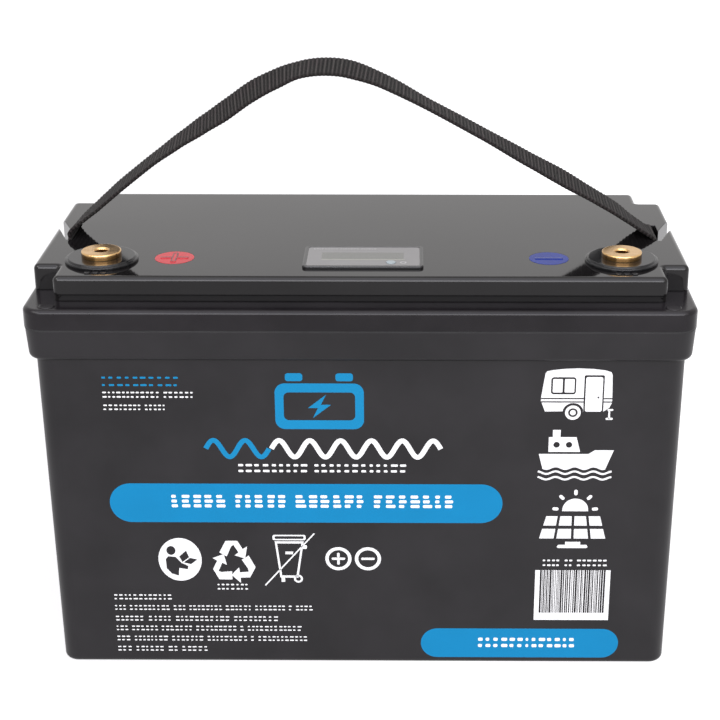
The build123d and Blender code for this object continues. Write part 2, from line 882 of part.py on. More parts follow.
link_points = [(link_x, row * row_pitch) for row in (-1.5, 0.5)]
with BuildPart() as interlayer_links:
    with BuildSketch(Plane.XY.offset(middle_sheet_z)):
        with Locations(*link_points):
            Rectangle(link_length, link_width)
    extrude(amount=middle_sheet_thickness)
save(interlayer_links, "interlayer_links")


def sheet(z, thickness, windows=()):
    """Flat insulating sheet over the whole pack, with windows for links."""
    with BuildPart() as insulator:
        with BuildSketch(Plane.XY.offset(z)):
            RectangleRounded(holder_length, holder_width, holder_corner)
            if windows:
                with Locations(*windows):
                    Rectangle(link_length, link_width, mode=Mode.SUBTRACT)
        extrude(amount=thickness)
    return insulator


save(sheet(floor_z, foam_thickness), "foam_pad_bottom")
save(sheet(pad_top_z, sheet_thickness), "insulator_bottom")
save(sheet(middle_sheet_z, middle_sheet_thickness, link_points), "insulator_middle")
save(sheet(top_sheet_z, top_sheet_thickness), "insulator_top")

with BuildPart() as foam_end_pads:
    with BuildSketch(Plane.XY.offset(end_pad_bottom_z)):
        with Locations((end_pad_x, 0)):
            Rectangle(end_pad_depth, right_pad_width)
        with Locations((-end_pad_x, left_pad_front_y), (-end_pad_x, left_pad_rear_y)):
            Rectangle(end_pad_depth, left_pad_width)
    extrude(amount=end_pad_height)
save(foam_end_pads, "foam_end_pads")

with BuildPart() as foam_blocks_top:
    with BuildSketch(Plane.XY.offset(tray_z)):
        with Locations((-block_x, block_y), (block_x, block_y)):
            Rectangle(block_length, block_width)
    extrude(amount=ledge_z - deck_thickness - tray_z)
save(foam_blocks_top, "foam_blocks_top")


# ---------------------------------------------------------------- protection board
post_points = [
    (sx * (board_length / 2 - post_inset), sy * (board_width / 2 - post_inset))
    for sx in (-1, 1)
    for sy in (-1, 1)
]

with BuildPart() as bms_tray:
    with BuildSketch(Plane.XY.offset(tray_z)):
        RectangleRounded(
            board_length + 2 * tray_margin_x, board_width + 2 * tray_margin_y, tray_corner
        )
    extrude(amount=tray_thickness)
    with BuildSketch(Plane.XY.offset(tray_z + tray_thickness)):
        with Locations(*post_points):
            Circle(post_r)
    extrude(amount=post_height)
    with BuildSketch(Plane.XY.offset(board_z)):
        with Locations(*post_points):
            Circle(post_pilot_r)
    extrude(amount=-post_height, mode=Mode.SUBTRACT)
save(bms_tray, "bms_tray")

with BuildPart() as bms_board:
    with BuildSketch(Plane.XY.offset(board_z)):
        RectangleRounded(board_length, board_width, board_corner)
        with Locations(*post_points):
            Circle(board_hole_r, mode=Mode.SUBTRACT)
    extrude(amount=board_thickness)
save(bms_board, "bms_board")

with BuildPart() as bms_transistors:
    for row_y in transistor_rows_y:
        with Locations((0, row_y, board_top_z)):
            with GridLocations(transistor_pitch, 0, transistor_columns, 1):
                Box(*transistor_size, align=(Align.CENTER, Align.CENTER, Align.MIN))
save(bms_transistors, "bms_transistors")

heatsink_z = board_top_z + transistor_size[2]
with BuildPart() as bms_heatsink:
    with BuildSketch(Plane.XY.offset(heatsink_z)):
        with Locations((0, heatsink_y)):
            Rectangle(heatsink_length, heatsink_width)
    extrude(amount=heatsink_base)
    with BuildSketch(Plane.XY.offset(heatsink_z + heatsink_base)):
        with Locations((0, heatsink_y)):
            with GridLocations(0, fin_pitch, 1, fin_count):
                Rectangle(heatsink_length, fin_thickness)
    extrude(amount=heatsink_height - heatsink_base)
save(bms_heatsink, "bms_heatsink")

with BuildPart() as bms_screws:
    with Locations(*[(x, y, board_top_z) for x, y in post_points]):
        Cylinder(
            board_screw_head_r,
            board_screw_head_height,
            align=(Align.CENTER, Align.CENTER, Align.MIN),
        )
        Cylinder(
            board_screw_r, board_screw_length, align=(Align.CENTER, Align.CENTER, Align.MAX)
        )
save(bms_screws, "bms_screws")

with BuildPart() as bms_connector:
    with Locations((connector_x, connector_y, board_top_z)):
        Box(*connector_size, align=(Align.CENTER, Align.CENTER, Align.MIN))
save(bms_connector, "bms_connector")

with BuildPart() as bms_terminals:
    with Locations((-bus_x, bus_y, board_top_z), (bus_x, bus_y, board_top_z)):
        Box(*bus_size, align=(Align.CENTER, Align.CENTER, Align.MIN))
    for side in (-1, 1):
        with BuildSketch(Plane.YZ.offset(side * bus_x)):
            with Locations((bus_y, lead_z)):
                Circle(cable_r)
        extrude(amount=side * bus_size[0] / 2, mode=Mode.SUBTRACT)
save(bms_terminals, "bms_terminals")


# ---------------------------------------------------------------- cables
def tube(points, radii, radius):
    """Round cable along straight runs joined by tangent arcs."""
    with BuildPart() as cable:
        with BuildLine() as route:
            FilletPolyline(*points, radius=radii)
        start = Plane(origin=route.line @ 0, z_dir=route.line % 0)
        with BuildSketch(start):
            Circle(radius)
        sweep(path=route.line)
    return cable


save(
    tube(
        [
            (side_cable_x, positive_tab_y, upper_plate_z + plate_thickness),
            (side_cable_x, positive_tab_y, riser_top_z),
            (-terminal_x, riser_front_y, lug_axis_z),
            (-terminal_x, lug_mouth_y, lug_axis_z),
        ],
        riser_bends,
        cable_r,
    ),
    "cable_positive",
)
save(
    tube(
        [
            (bus_x, bus_y, lead_z),
            (terminal_x, bus_y, lead_z),
            (terminal_x, bus_y, lug_axis_z),
            (terminal_x, lug_mouth_y, lug_axis_z),
        ],
        drop_bends,
        cable_r,
    ),
    "cable_negative",
)
save(
    tube(
        [
            (side_cable_x, negative_tab_y, lower_top_z + plate_thickness),
            (side_cable_x, negative_tab_y, lead_z),
            (return_out_x, negative_tab_y, lead_z),
            (return_in_x, bus_y, lead_z),
            (-bus_x, bus_y, lead_z),
        ],
        return_bends,
        cable_r,
    ),
    "bms_cable",
)

tap_levels = [lower_plate_z, lower_top_z, upper_plate_z, upper_top_z - tap_step, upper_top_z]
with BuildPart() as balance_harness:
    for number in range(harness_count):
        wire_x = connector_x + (number - (harness_count - 1) / 2) * harness_pitch
        with BuildLine() as wire:
            FilletPolyline(
                (wire_x, connector_y + connector_size[1] / 2, board_top_z + harness_height),
                (wire_x, harness_y, board_top_z + harness_height),
                (wire_x, harness_y, tap_levels[number]),
                radius=[harness_bend],
            )
        with BuildSketch(Plane(origin=wire.line @ 0, z_dir=wire.line % 0)):
            Circle(wire_r)
        sweep(path=wire.line)
save(balance_harness, "balance_harness")

with BuildPart() as temperature_sensor:
    with Locations((*sensor_place, tray_z)):
        Box(*sensor_size, align=(Align.CENTER, Align.CENTER, Align.MIN))
save(temperature_sensor, "temperature_sensor")

with BuildPart() as meter_wires:
    for side in (-1, 1):
        wire_x = meter_socket_x + side * meter_wire_spacing / 2
        with BuildLine() as wire:
            FilletPolyline(
                (wire_x, meter_y, meter_board_z - meter_socket_height),
                (wire_x, meter_y, meter_wire_run_z),
                (wire_x, meter_wire_end_y, meter_wire_run_z),
                (wire_x, meter_wire_end_y, board_top_z),
                radius=[meter_wire_bend, meter_wire_bend],
            )
        with BuildSketch(Plane(origin=wire.line @ 0, z_dir=wire.line % 0)):
            Circle(wire_r)
        sweep(path=wire.line)
save(meter_wires, "meter_wires")
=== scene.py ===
import json
import math
import random

import bpy
from mathutils import Euler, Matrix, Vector
from mathutils.geometry import tessellate_polygon


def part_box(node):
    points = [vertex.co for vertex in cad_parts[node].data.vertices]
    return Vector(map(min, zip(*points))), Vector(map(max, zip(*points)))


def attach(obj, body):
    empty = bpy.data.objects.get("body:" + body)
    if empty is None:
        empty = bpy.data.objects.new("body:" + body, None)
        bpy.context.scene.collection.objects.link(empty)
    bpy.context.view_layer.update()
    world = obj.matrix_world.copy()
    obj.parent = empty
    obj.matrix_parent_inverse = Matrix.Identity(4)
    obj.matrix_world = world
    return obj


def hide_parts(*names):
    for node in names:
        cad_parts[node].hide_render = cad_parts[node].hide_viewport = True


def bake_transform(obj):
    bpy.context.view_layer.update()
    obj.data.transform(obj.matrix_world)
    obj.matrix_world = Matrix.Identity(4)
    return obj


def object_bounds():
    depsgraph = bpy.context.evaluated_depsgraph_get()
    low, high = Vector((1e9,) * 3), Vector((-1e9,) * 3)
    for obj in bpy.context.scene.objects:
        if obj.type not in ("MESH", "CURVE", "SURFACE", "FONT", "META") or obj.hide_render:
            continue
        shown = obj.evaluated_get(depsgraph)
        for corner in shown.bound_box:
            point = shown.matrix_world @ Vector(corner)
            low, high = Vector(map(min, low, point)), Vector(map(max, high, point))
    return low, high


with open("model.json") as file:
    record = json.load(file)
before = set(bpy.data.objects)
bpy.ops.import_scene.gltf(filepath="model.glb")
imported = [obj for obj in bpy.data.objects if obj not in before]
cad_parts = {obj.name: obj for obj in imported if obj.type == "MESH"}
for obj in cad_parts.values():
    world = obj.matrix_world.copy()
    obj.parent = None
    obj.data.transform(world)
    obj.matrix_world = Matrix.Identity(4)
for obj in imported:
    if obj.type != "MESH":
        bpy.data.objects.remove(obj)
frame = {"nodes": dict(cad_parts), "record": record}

cad_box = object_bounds()

MM = 0.001
nodes = frame["nodes"]
record = frame["record"]

# -------- camera and studio
camera_place = Vector((24.9, -837.1, 477.0)) * MM
camera_pitch = math.radians(21.86)
camera_yaw = math.radians(0.4)
camera_lens = 82.84
camera_shift_x = -0.0556
middle = (0.0, 0.0, 0.12)

# The surroundings are brightest towards bright_side; the shares below are cosines of the angle to it.
bright_side = (0.0, -0.5, 0.866)
bright_from = 0.6
bluer_from = 0.72
bright_full = 0.95
even_strength = 1.06
bright_strength = 3.6

# The floor's glow grows from left to right within glow_reach of the middle.
floor_reach = 12.0
glow_reach = 0.25
glow_left = 0.64
glow_right = 0.92

# Soft boxes: name, place, (width, height), watts, colour.
soft_boxes = [
    ("key_light", (-0.9, -0.6, 1.15), (0.7, 0.4), 4.5, (1.0, 0.99, 0.97)),
    ("fill_light", (1.1, -0.9, 0.9), (0.6, 0.6), 1.6, (1.0, 1.0, 1.0)),
    ("front_light", (0.1, -1.8, 1.15), (2.6, 0.9), 45.0, (0.95, 0.95, 1.0)),
]


def put_in_scene(name, data):
    """New object with the given data, linked to the scene."""
    made = bpy.data.objects.new(name, data)
    bpy.context.collection.objects.link(made)
    return made


def make_camera():
    """Camera at the height and distance of a product photograph."""
    data = bpy.data.cameras.new("camera")
    data.lens = camera_lens
    data.sensor_width = 36.0
    data.shift_x = camera_shift_x
    data.clip_start = 0.05
    data.clip_end = 30.0
    camera = put_in_scene("camera", data)
    camera.location = camera_place
    camera.rotation_euler = Euler((math.pi / 2 - camera_pitch, 0.0, camera_yaw))
    bpy.context.scene.camera = camera
    bpy.context.scene.view_settings.view_transform = "Standard"


def softbox(name, place, size, power, colour):
    """Rectangular area light at place, turned towards the battery."""
    data = bpy.data.lights.new(name, "AREA")
    data.shape = "RECTANGLE"
    data.size, data.size_y = size
    data.energy = power
    data.color = colour
    lamp = put_in_scene(name, data)
    lamp.location = place
    lamp.rotation_euler = (Vector(middle) - Vector(place)).to_track_quat("-Z", "Y").to_euler()


def pale_surroundings():
    """White surroundings that grow brighter and slightly bluer towards bright_side."""
    world = bpy.data.worlds.new("studio")
    world.use_nodes = True
    tree = world.node_tree
    direction = add_node(tree, "TexCoord").outputs["Generated"]
    dot = add_node(
        tree, "VectorMath", {0: direction, 1: bright_side}, operation="DOT_PRODUCT"
    )
    cosine = dot.outputs["Value"]
    bluer = spread(cosine, bluer_from, bright_full, 0.0, 1.0)
    tint = mix(bluer, (1.0, 0.985, 0.98), (0.93, 0.93, 1.0))
    strength = add_node(
        tree,
        "MapRange",
        {
            "Value": cosine, "From Min": bright_from, "From Max": bright_full,
            "To Min": even_strength, "To Max": bright_strength,
        },
        interpolation_type="SMOOTHSTEP",
    )
    background = tree.nodes["Background"]
    feed(background.inputs["Color"], tint)
    feed(background.inputs["Strength"], strength.outputs["Result"])
    bpy.context.scene.world = world


def white_floor():
    """Wide paper floor, lit a little from within so that only a faint shadow shows."""
    mesh = bpy.data.meshes.new("floor")
    corners = [(-1, -1), (1, -1), (1, 1), (-1, 1)]
    mesh.from_pydata([(x * floor_reach, y * floor_reach, 0) for x, y in corners], [], [(0, 1, 2, 3)])
    floor = put_in_scene("floor", mesh)
    floor.location.z = cad_box[0].z
    material, shader, tree = new_material("floor_paper")
    surface(shader, (0.2, 0.2, 0.2, 1.0), 0.9, 0.1)
    shader.inputs["Emission Color"].default_value = (1.0, 0.99, 1.0, 1.0)
    place = add_node(tree, "NewGeometry").outputs["Position"]
    across = add_node(tree, "SeparateXYZ", {"Vector": place}).outputs["X"]
    glow = spread(across, -glow_reach, glow_reach, glow_left, glow_right)
    feed(shader.inputs["Emission Strength"], glow)
    mesh.materials.append(material)


def studio():
    """Surroundings, floor and soft boxes."""
    pale_surroundings()
    white_floor()
    for box in soft_boxes:
        softbox(*box)


# -------- material building blocks
def new_material(name):
    """Empty material with one Principled shader."""
    material = bpy.data.materials.new(name)
    material.use_nodes = True
    tree = material.node_tree
    shader = tree.nodes["Principled BSDF"]
    return material, shader, tree


def feed(socket, value):
    """Links a socket to another node's output, or sets its value."""
    if isinstance(value, bpy.types.NodeSocket):
        socket.id_data.links.new(value, socket)
    else:
        socket.default_value = value


def add_node(tree, kind, inputs=None, **settings):
    """New shader node with its settings, and its inputs set or linked."""
    node = tree.nodes.new("ShaderNode" + kind)
    for key, value in settings.items():
        setattr(node, key, value)
    for key, value in (inputs or {}).items():
        feed(node.inputs[key], value)
    return node


def object_place(tree, scale=(1.0, 1.0, 1.0)):
    """Object coordinates, stretched by scale."""
    coordinates = add_node(tree, "TexCoord")
    mapping = add_node(tree, "Mapping", {"Vector": coordinates.outputs["Object"]})
    mapping.inputs["Scale"].default_value = scale
    return mapping.outputs["Vector"]


def noise(place, scale, detail=4.0, roughness=0.55):
    """Fractal noise, 0 to 1."""
    texture = add_node(
        place.id_data,
        "TexNoise",
        {"Vector": place, "Scale": scale, "Detail": detail, "Roughness": roughness},
    )
    return texture.outputs["Fac"]


def spread(value, low, high, new_low, new_high):
    """Maps low to high onto new_low to new_high, clamped."""
    node = add_node(
        value.id_data,
        "MapRange",
        {"Value": value, "From Min": low, "From Max": high, "To Min": new_low, "To Max": new_high},
    )
    return node.outputs["Result"]


def vary(value, new_low, new_high):
    """Maps noise, most of which lies between 0.3 and 0.7, onto new_low to new_high."""
    return spread(value, 0.3, 0.7, new_low, new_high)


def maths(operation, first, second=0.0):
    """One arithmetic step."""
    node = add_node(first.id_data, "Math", {0: first, 1: second}, operation=operation)
    return node.outputs[0]


def scaled(colour, factor, lift=0.0):
    """Colour made darker or paler by a factor and a lift."""
    return tuple(min(1.0, channel * factor + lift) for channel in colour)


def mix(share, first, second):
    """Colour that goes from first to second with share."""
    node = add_node(share.id_data, "Mix", {"Factor": share}, data_type="RGBA")
    for socket, colour in ((node.inputs[6], first), (node.inputs[7], second)):
        feed(socket, (*colour, 1.0) if isinstance(colour, tuple) else colour)
    return node.outputs[2]


def surface(shader, colour, roughness, specular=0.5):
    """Sets the shader's colour, roughness and strength of reflection."""
    feed(shader.inputs["Base Color"], colour)
    feed(shader.inputs["Roughness"], roughness)
    feed(shader.inputs["Specular IOR Level"], specular)


def bumped(shader, height, distance, normal=None, strength=1.0):
    """Relief from a height value in the shader's normal."""
    values = {"Height": height, "Distance": distance, "Strength": strength}
    bump = add_node(shader.id_data, "Bump", values)
    if normal is not None:
        feed(bump.inputs["Normal"], normal)
    feed(shader.inputs["Normal"], bump.outputs["Normal"])


def edge_mask(tree, radius):
    """(share that is 1 on sharp edges, the rounded normal)."""
    bevel = add_node(tree, "Bevel", {"Radius": radius}, samples=6).outputs["Normal"]
    flat = add_node(tree, "NewGeometry").outputs["Normal"]
    dot = add_node(tree, "VectorMath", {0: bevel, 1: flat}, operation="DOT_PRODUCT")
    return spread(dot.outputs["Value"], 0.995, 0.8, 0.0, 1.0), bevel


# -------- materials
def moulded(
    name, colour, roughness, grain=900.0, relief=0.00002, edge_radius=0.0008, gloss_spread=0.08,
    edge_lift=0.03, specular=0.5,
):
    """Moulded plastic: fine grain, cloudy gloss and slightly paler, worn edges."""
    material, shader, tree = new_material(name)
    place = object_place(tree)
    clouds = noise(place, 28.0, 5.0)
    fine = noise(place, grain, 3.0, 0.7)
    edge_share, soft_normal = edge_mask(tree, edge_radius)
    mottle = spread(clouds, 0.35, 0.65, 0.0, 1.0)
    body = mix(mottle, scaled(colour, 0.82), scaled(colour, 1.15, 0.002))
    rubbed = maths("MULTIPLY", edge_share, spread(clouds, 0.4, 0.7, 0.25, 1.0))
    skin = mix(rubbed, body, scaled(colour, 1.0, edge_lift))
    half = gloss_spread / 2
    surface(shader, skin, vary(clouds, roughness - half, roughness + half), specular)
    bumped(shader, fine, relief, soft_normal)
    return material


def polished_cover(name, colour, roughness):
    """Polished plastic with a mirror gloss, faint waviness and hairline scratches."""
    material, shader, tree = new_material(name)
    place = object_place(tree)
    clouds = noise(place, 20.0, 4.0)
    dust = noise(place, 2600.0, 2.0, 0.8)
    scratches = noise(object_place(tree, (9.0, 900.0, 200.0)), 1.0, 3.0)
    edge_share, soft_normal = edge_mask(tree, 0.0009)
    body = mix(vary(clouds, 0.0, 1.0), colour, scaled(colour, 1.25, 0.001))
    rubbed = maths("MULTIPLY", edge_share, 0.6)
    skin = mix(rubbed, body, scaled(colour, 1.0, 0.015))
    polish = vary(clouds, roughness * 0.7, roughness * 1.3)
    dull = maths("ADD", polish, spread(dust, 0.62, 0.8, 0.0, 0.06))
    edge_dull = maths("MULTIPLY", edge_share, 0.1)
    surface(shader, skin, maths("ADD", dull, edge_dull), 0.265)
    shader.inputs["IOR"].default_value = 1.5
    bumped(shader, scratches, 0.000002, soft_normal)
    return material


def turned_brass(name, centre_x, centre_y, rim_z):
    """Lathe-turned brass: rings about each terminal's axis and slight tarnish, with a painted dark
    reflection on the sides below the rim and a painted highlight on the sharp edges.
    """
    material, shader, tree = new_material(name)
    coordinates = add_node(tree, "TexCoord")
    split = add_node(tree, "SeparateXYZ", {"Vector": coordinates.outputs["Object"]})
    across = maths("SUBTRACT", maths("ABSOLUTE", split.outputs["X"]), abs(centre_x))
    along = maths("SUBTRACT", split.outputs["Y"], centre_y)
    squares = maths("ADD", maths("POWER", across, 2.0), maths("POWER", along, 2.0))
    radius = maths("SQRT", squares)
    ring_place = add_node(tree, "CombineXYZ", {"X": radius, "Z": split.outputs["Z"]})
    rings = noise(ring_place.outputs["Vector"], 3600.0, 2.0, 0.5)
    clouds = noise(coordinates.outputs["Object"], 160.0, 5.0)
    edge_share, soft_normal = edge_mask(tree, 0.0006)
    bright = (0.66, 0.42, 0.19)
    tarnished = (0.5, 0.29, 0.11)
    top_face = mix(spread(clouds, 0.42, 0.72, 0.0, 0.7), bright, tarnished)
    # Painted dark reflection: the sides below the rim are coloured dark brown.
    painted_dark_side = spread(split.outputs["Z"], rim_z - 0.0016, rim_z - 0.0007, 1.0, 0.0)
    body = mix(painted_dark_side, top_face, (0.27, 0.15, 0.055))
    # Painted highlight: the sharp edges and rims turn a bright pale brass.
    skin = mix(edge_share, body, (0.98, 0.78, 0.42))
    surface(shader, skin, vary(clouds, 0.17, 0.28))
    shader.inputs["Metallic"].default_value = 1.0
    bumped(shader, rings, 0.000012, soft_normal, 0.7)
    return material


def metal(name, colour, roughness, stretch=(60.0, 900.0, 900.0)):
    """Rolled or drawn metal: brushed streaks and cloudy oxide."""
    material, shader, tree = new_material(name)
    streaks = noise(object_place(tree, stretch), 1.0, 4.0)
    clouds = noise(object_place(tree), 70.0, 4.0)
    edge_share, soft_normal = edge_mask(tree, 0.0004)
    oxide = spread(clouds, 0.35, 0.7, 0.0, 1.0)
    body = mix(oxide, colour, scaled(colour, 0.78))
    skin = mix(edge_share, body, scaled(colour, 1.15))
    surface(shader, skin, vary(streaks, roughness * 0.75, roughness * 1.25))
    shader.inputs["Metallic"].default_value = 1.0
    bumped(shader, streaks, 0.00001, soft_normal)
    return material


def soft_skin(name, colour, roughness, scale, relief, darker_share=0.7):
    """Rubber, cable sheath or foam: pores of the given scale under a dull skin."""
    material, shader, tree = new_material(name)
    place = object_place(tree)
    pores = add_node(tree, "TexVoronoi", {"Vector": place, "Scale": scale})
    depth = pores.outputs["Distance"]
    clouds = noise(place, 45.0, 4.0)
    in_pore = spread(depth, 0.0, 0.6, 1.0, 0.2)
    share = maths("MULTIPLY", in_pore, vary(clouds, 0.4, 1.0))
    skin = mix(share, colour, scaled(colour, darker_share))
    surface(shader, skin, vary(clouds, roughness - 0.06, roughness + 0.06))
    bumped(shader, depth, relief)
    return material


def pressed_board(name, colour):
    """Insulating board: short crossing fibres and flecks."""
    material, shader, tree = new_material(name)
    fibres = noise(object_place(tree, (120.0, 900.0, 900.0)), 1.0, 5.0, 0.7)
    flecks = noise(object_place(tree), 500.0, 2.0)
    share = maths("MULTIPLY", fibres, spread(flecks, 0.35, 0.65, 0.3, 1.0))
    surface(shader, mix(share, colour, scaled(colour, 0.7)), 0.75)
    bumped(shader, fibres, 0.00004)
    return material


def solder_mask(name):
    """Green circuit board with slightly raised tracks."""
    material, shader, tree = new_material(name)
    place = object_place(tree)
    tracks = add_node(
        tree,
        "TexBrick",
        {"Vector": place, "Scale": 140.0, "Mortar Size": 0.03, "Mortar Smooth": 0.2},
    ).outputs["Fac"]
    clouds = noise(place, 120.0, 3.0)
    green = mix(clouds, (0.015, 0.11, 0.05), (0.02, 0.16, 0.07))
    skin = mix(tracks, green, (0.04, 0.26, 0.12))
    surface(shader, skin, vary(clouds, 0.22, 0.4))
    bumped(shader, tracks, 0.00005)
    return material


def shrink_sleeve(name, colour):
    """Thin plastic sleeve round a cell: fine wrinkles and a soft gloss."""
    material, shader, tree = new_material(name)
    wrinkles = noise(object_place(tree, (400.0, 400.0, 60.0)), 1.0, 4.0)
    clouds = noise(object_place(tree), 60.0, 3.0)
    skin = mix(clouds, colour, scaled(colour, 0.7))
    surface(shader, skin, vary(wrinkles, 0.25, 0.4))
    bumped(shader, wrinkles, 0.00005)
    return material


def woven_webbing(name):
    """Black polypropylene webbing; the ribs are in the mesh, the yarns are drawn here, and the light on the
    rib crests and the shade between them are painted into the colour.
    """
    material, shader, tree = new_material(name)
    along = add_node(tree, "Attribute", attribute_name="strap_along").outputs["Fac"]
    across = add_node(tree, "Attribute", attribute_name="strap_across").outputs["Fac"]
    rib = add_node(tree, "Attribute", attribute_name="strap_painted_light").outputs["Fac"]
    warp = maths("SINE", maths("MULTIPLY", across, 2 * math.pi / webbing_yarn))
    filament_place = add_node(
        tree,
        "CombineXYZ",
        {"X": maths("MULTIPLY", along, 500.0), "Y": maths("MULTIPLY", across, 6000.0)},
    )
    filaments = noise(filament_place.outputs["Vector"], 1.0, 2.0)
    clouds = noise(object_place(tree), 90.0, 4.0)
    # Painted light and shade: near black in the rib hollows, lighter on the crests.
    crest = spread(rib, 0.15, 1.0, 0.0, 1.0)
    lit = maths("MULTIPLY", crest, spread(filaments, 0.2, 0.8, 0.7, 1.0))
    cool = mix(lit, (0.0015, 0.0013, 0.0013), (0.034, 0.031, 0.029))
    warm = mix(lit, (0.0017, 0.0012, 0.0013), (0.037, 0.03, 0.03))
    yarn_colour_and_painted_light = mix(spread(clouds, 0.4, 0.65, 0.0, 1.0), cool, warm)
    surface(shader, yarn_colour_and_painted_light, spread(filaments, 0.2, 0.8, 0.55, 0.8), 0.06)
    shader.inputs["Sheen Weight"].default_value = 0.015
    shader.inputs["Sheen Roughness"].default_value = 0.4
    yarns = maths("MULTIPLY", warp, 0.5)
    relief = maths("ADD", yarns, maths("MULTIPLY", filaments, 0.35))
    bumped(shader, relief, 0.00016)
    return material


def ink(name, colour, roughness=0.5, specular=0.12):
    """Screen-printed ink: slightly uneven cover and gloss."""
    material, shader, tree = new_material(name)
    place = object_place(tree)
    clouds = noise(place, 60.0, 4.0)
    mesh_marks = noise(place, 1800.0, 2.0)
    cover = mix(vary(clouds, 0.0, 1.0), colour, scaled(colour, 0.95))
    gloss = vary(mesh_marks, roughness - 0.05, roughness + 0.08)
    surface(shader, cover, gloss, specular)
    bumped(shader, mesh_marks, 0.000008)
    return material


def meter_film(name, first=(0.084, 0.08, 0.081), second=(0.102, 0.099, 0.1)):
    """Grey glossy film over the meter."""
    material, shader, tree = new_material(name)
    place = object_place(tree)
    clouds = noise(place, 50.0, 3.0)
    dust = noise(place, 3000.0, 2.0)
    skin = mix(clouds, first, second)
    surface(shader, skin, spread(dust, 0.5, 0.8, 0.12, 0.3))
    bumped(shader, clouds, 0.00004)
    return material


def slot_materials():
    """One material for each of the record's material slots, under the slot's name."""
    disc = {"roughness": 0.22, "relief": 0.000004, "edge_radius": 0.0004, "gloss_spread": 0.05}
    made = [
        moulded(
            "case_plastic", (0.003, 0.0022, 0.0032), 0.4, 1400.0, 0.00001,
            edge_lift=0.012, specular=0.33,
        ),
        moulded(
            "lid_plastic", (0.005, 0.004, 0.005), 0.2, 1200.0, 0.000004,
            gloss_spread=0.05, edge_lift=0.012, specular=0.2,
        ),
        polished_cover("cover_plastic", (0.0032, 0.0028, 0.003), 0.06),
        polished_cover("collar_plastic", (0.003, 0.003, 0.0034), 0.12),
        turned_brass("terminal_brass", terminal_x, terminal_y, terminal_top),
        moulded("mark_red", (0.27, 0.008, 0.014), specular=0.2, **disc),
        moulded("mark_blue", (0.004, 0.015, 0.135), specular=0.1, **disc),
        moulded("meter_plastic", (0.006, 0.006, 0.0065), 0.25, 1500.0, 0.000005),
        meter_film("meter_film"),
        polished_cover("lcd_glass", (0.05, 0.06, 0.055), 0.1),
        moulded("button_plastic", (0.175, 0.205, 0.22), 0.35, 1500.0, 0.000005, 0.0003),
        woven_webbing("webbing"),
        moulded("strap_stop_plastic", (0.012, 0.012, 0.012), 0.45),
        soft_skin("seal_rubber", (0.02, 0.02, 0.02), 0.65, 1500.0, 0.00002),
        metal("screw_steel", (0.62, 0.62, 0.64), 0.3),
        metal("tinned_copper", (0.72, 0.71, 0.68), 0.34, (300.0, 300.0, 300.0)),
        soft_skin("cable_red", (0.5, 0.02, 0.02), 0.45, 700.0, 0.00001, 0.85),
        soft_skin("cable_black", (0.018, 0.018, 0.018), 0.45, 700.0, 0.00001, 0.85),
        shrink_sleeve("cell_sleeve", (0.04, 0.14, 0.4)),
        moulded("holder_plastic", (0.02, 0.02, 0.021), 0.5, 700.0, 0.00003),
        metal("nickel", (0.7, 0.68, 0.62), 0.28, (40.0, 1200.0, 1200.0)),
        pressed_board("insulating_sheet", (0.55, 0.58, 0.5)),
        soft_skin("foam", (0.05, 0.05, 0.052), 0.9, 900.0, 0.0003, 0.35),
        solder_mask("circuit_board"),
        moulded("chip_plastic", (0.015, 0.015, 0.016), 0.55, 2500.0, 0.00001, 0.0003),
        metal("heatsink_aluminium", (0.78, 0.78, 0.8), 0.32),
        moulded("connector_plastic", (0.62, 0.6, 0.52), 0.4, 900.0, 0.00001, 0.0003),
    ]
    # Blender adds a number to a name that the frame's own materials have taken.
    return {material.name.split(".")[0]: material for material in made}


def paint_cad_nodes(materials):
    """Gives each CAD node the material of its slot in the record."""
    for row in record["subparts"]:
        mesh = nodes[row["node"]].data
        mesh.materials.clear()
        mesh.materials.append(materials[row["material_slot"]])


# -------- mesh helpers
def new_piece(name, points, faces, material, body="case", smooth=False):
    """Mesh object from points and faces that rides on a body."""
    mesh = bpy.data.meshes.new(name)
    mesh.from_pydata([tuple(p) for p in points], [], faces)
    mesh.validate()
    mesh.update()
    if smooth:
        mesh.polygons.foreach_set("use_smooth", [True] * len(mesh.polygons))
    mesh.materials.append(material)
    piece = put_in_scene(name, mesh)
    if body:
        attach(piece, body)
    return piece


def front_face():
    """(y at z = 0, rise of y for each metre of z) of the case's drafted front face."""
    case = nodes["container"]
    low, high = 0.03, 0.16
    found = []
    for z in (low, high):
        hit, place, _, _ = case.ray_cast(Vector((0.0, -1.0, z)), Vector((0.0, 1.0, 0.0)))
        if not hit:
            raise RuntimeError("the front face of the container was not found")
        found.append(place.y)
    slope = (found[1] - found[0]) / (high - low)
    return found[0] - slope * low, slope


# -------- carrying strap
webbing_width = 25.0 * MM
webbing_thickness = 1.7 * MM
webbing_rib = 2.1 * MM
webbing_yarn = 1.25 * MM
rib_height = 0.24 * MM
edge_scallop = 0.38 * MM
selvage_height = 0.12 * MM
steps_per_rib = 6
steps_per_station = 16
cells_across = 24

# Stations along the webbing between the slots: x, height of the middle line, tilt in degrees.
strap_stations = [
    (-152.6, 216.4, -4), (-149.4, 220.0, -2), (-144.2, 224.3, 0), (-137.0, 230.4, 2),
    (-129.0, 237.4, 3), (-120.0, 244.7, 3), (-108.0, 254.1, 3), (-95.0, 263.4, 6),
    (-82.0, 272.0, 10), (-70.0, 279.8, 13), (-57.0, 288.9, 13), (-44.0, 295.6, 11),
    (-32.0, 300.2, 7), (-20.0, 301.8, 7), (-7.0, 300.6, 7), (11.0, 294.2, 3),
    (35.0, 281.6, -1), (60.0, 268.1, 0), (85.0, 254.0, 3), (104.0, 243.5, 5),
    (120.0, 234.3, 2), (133.0, 226.4, 1), (142.0, 219.9, -2), (149.4, 215.0, -3),
]


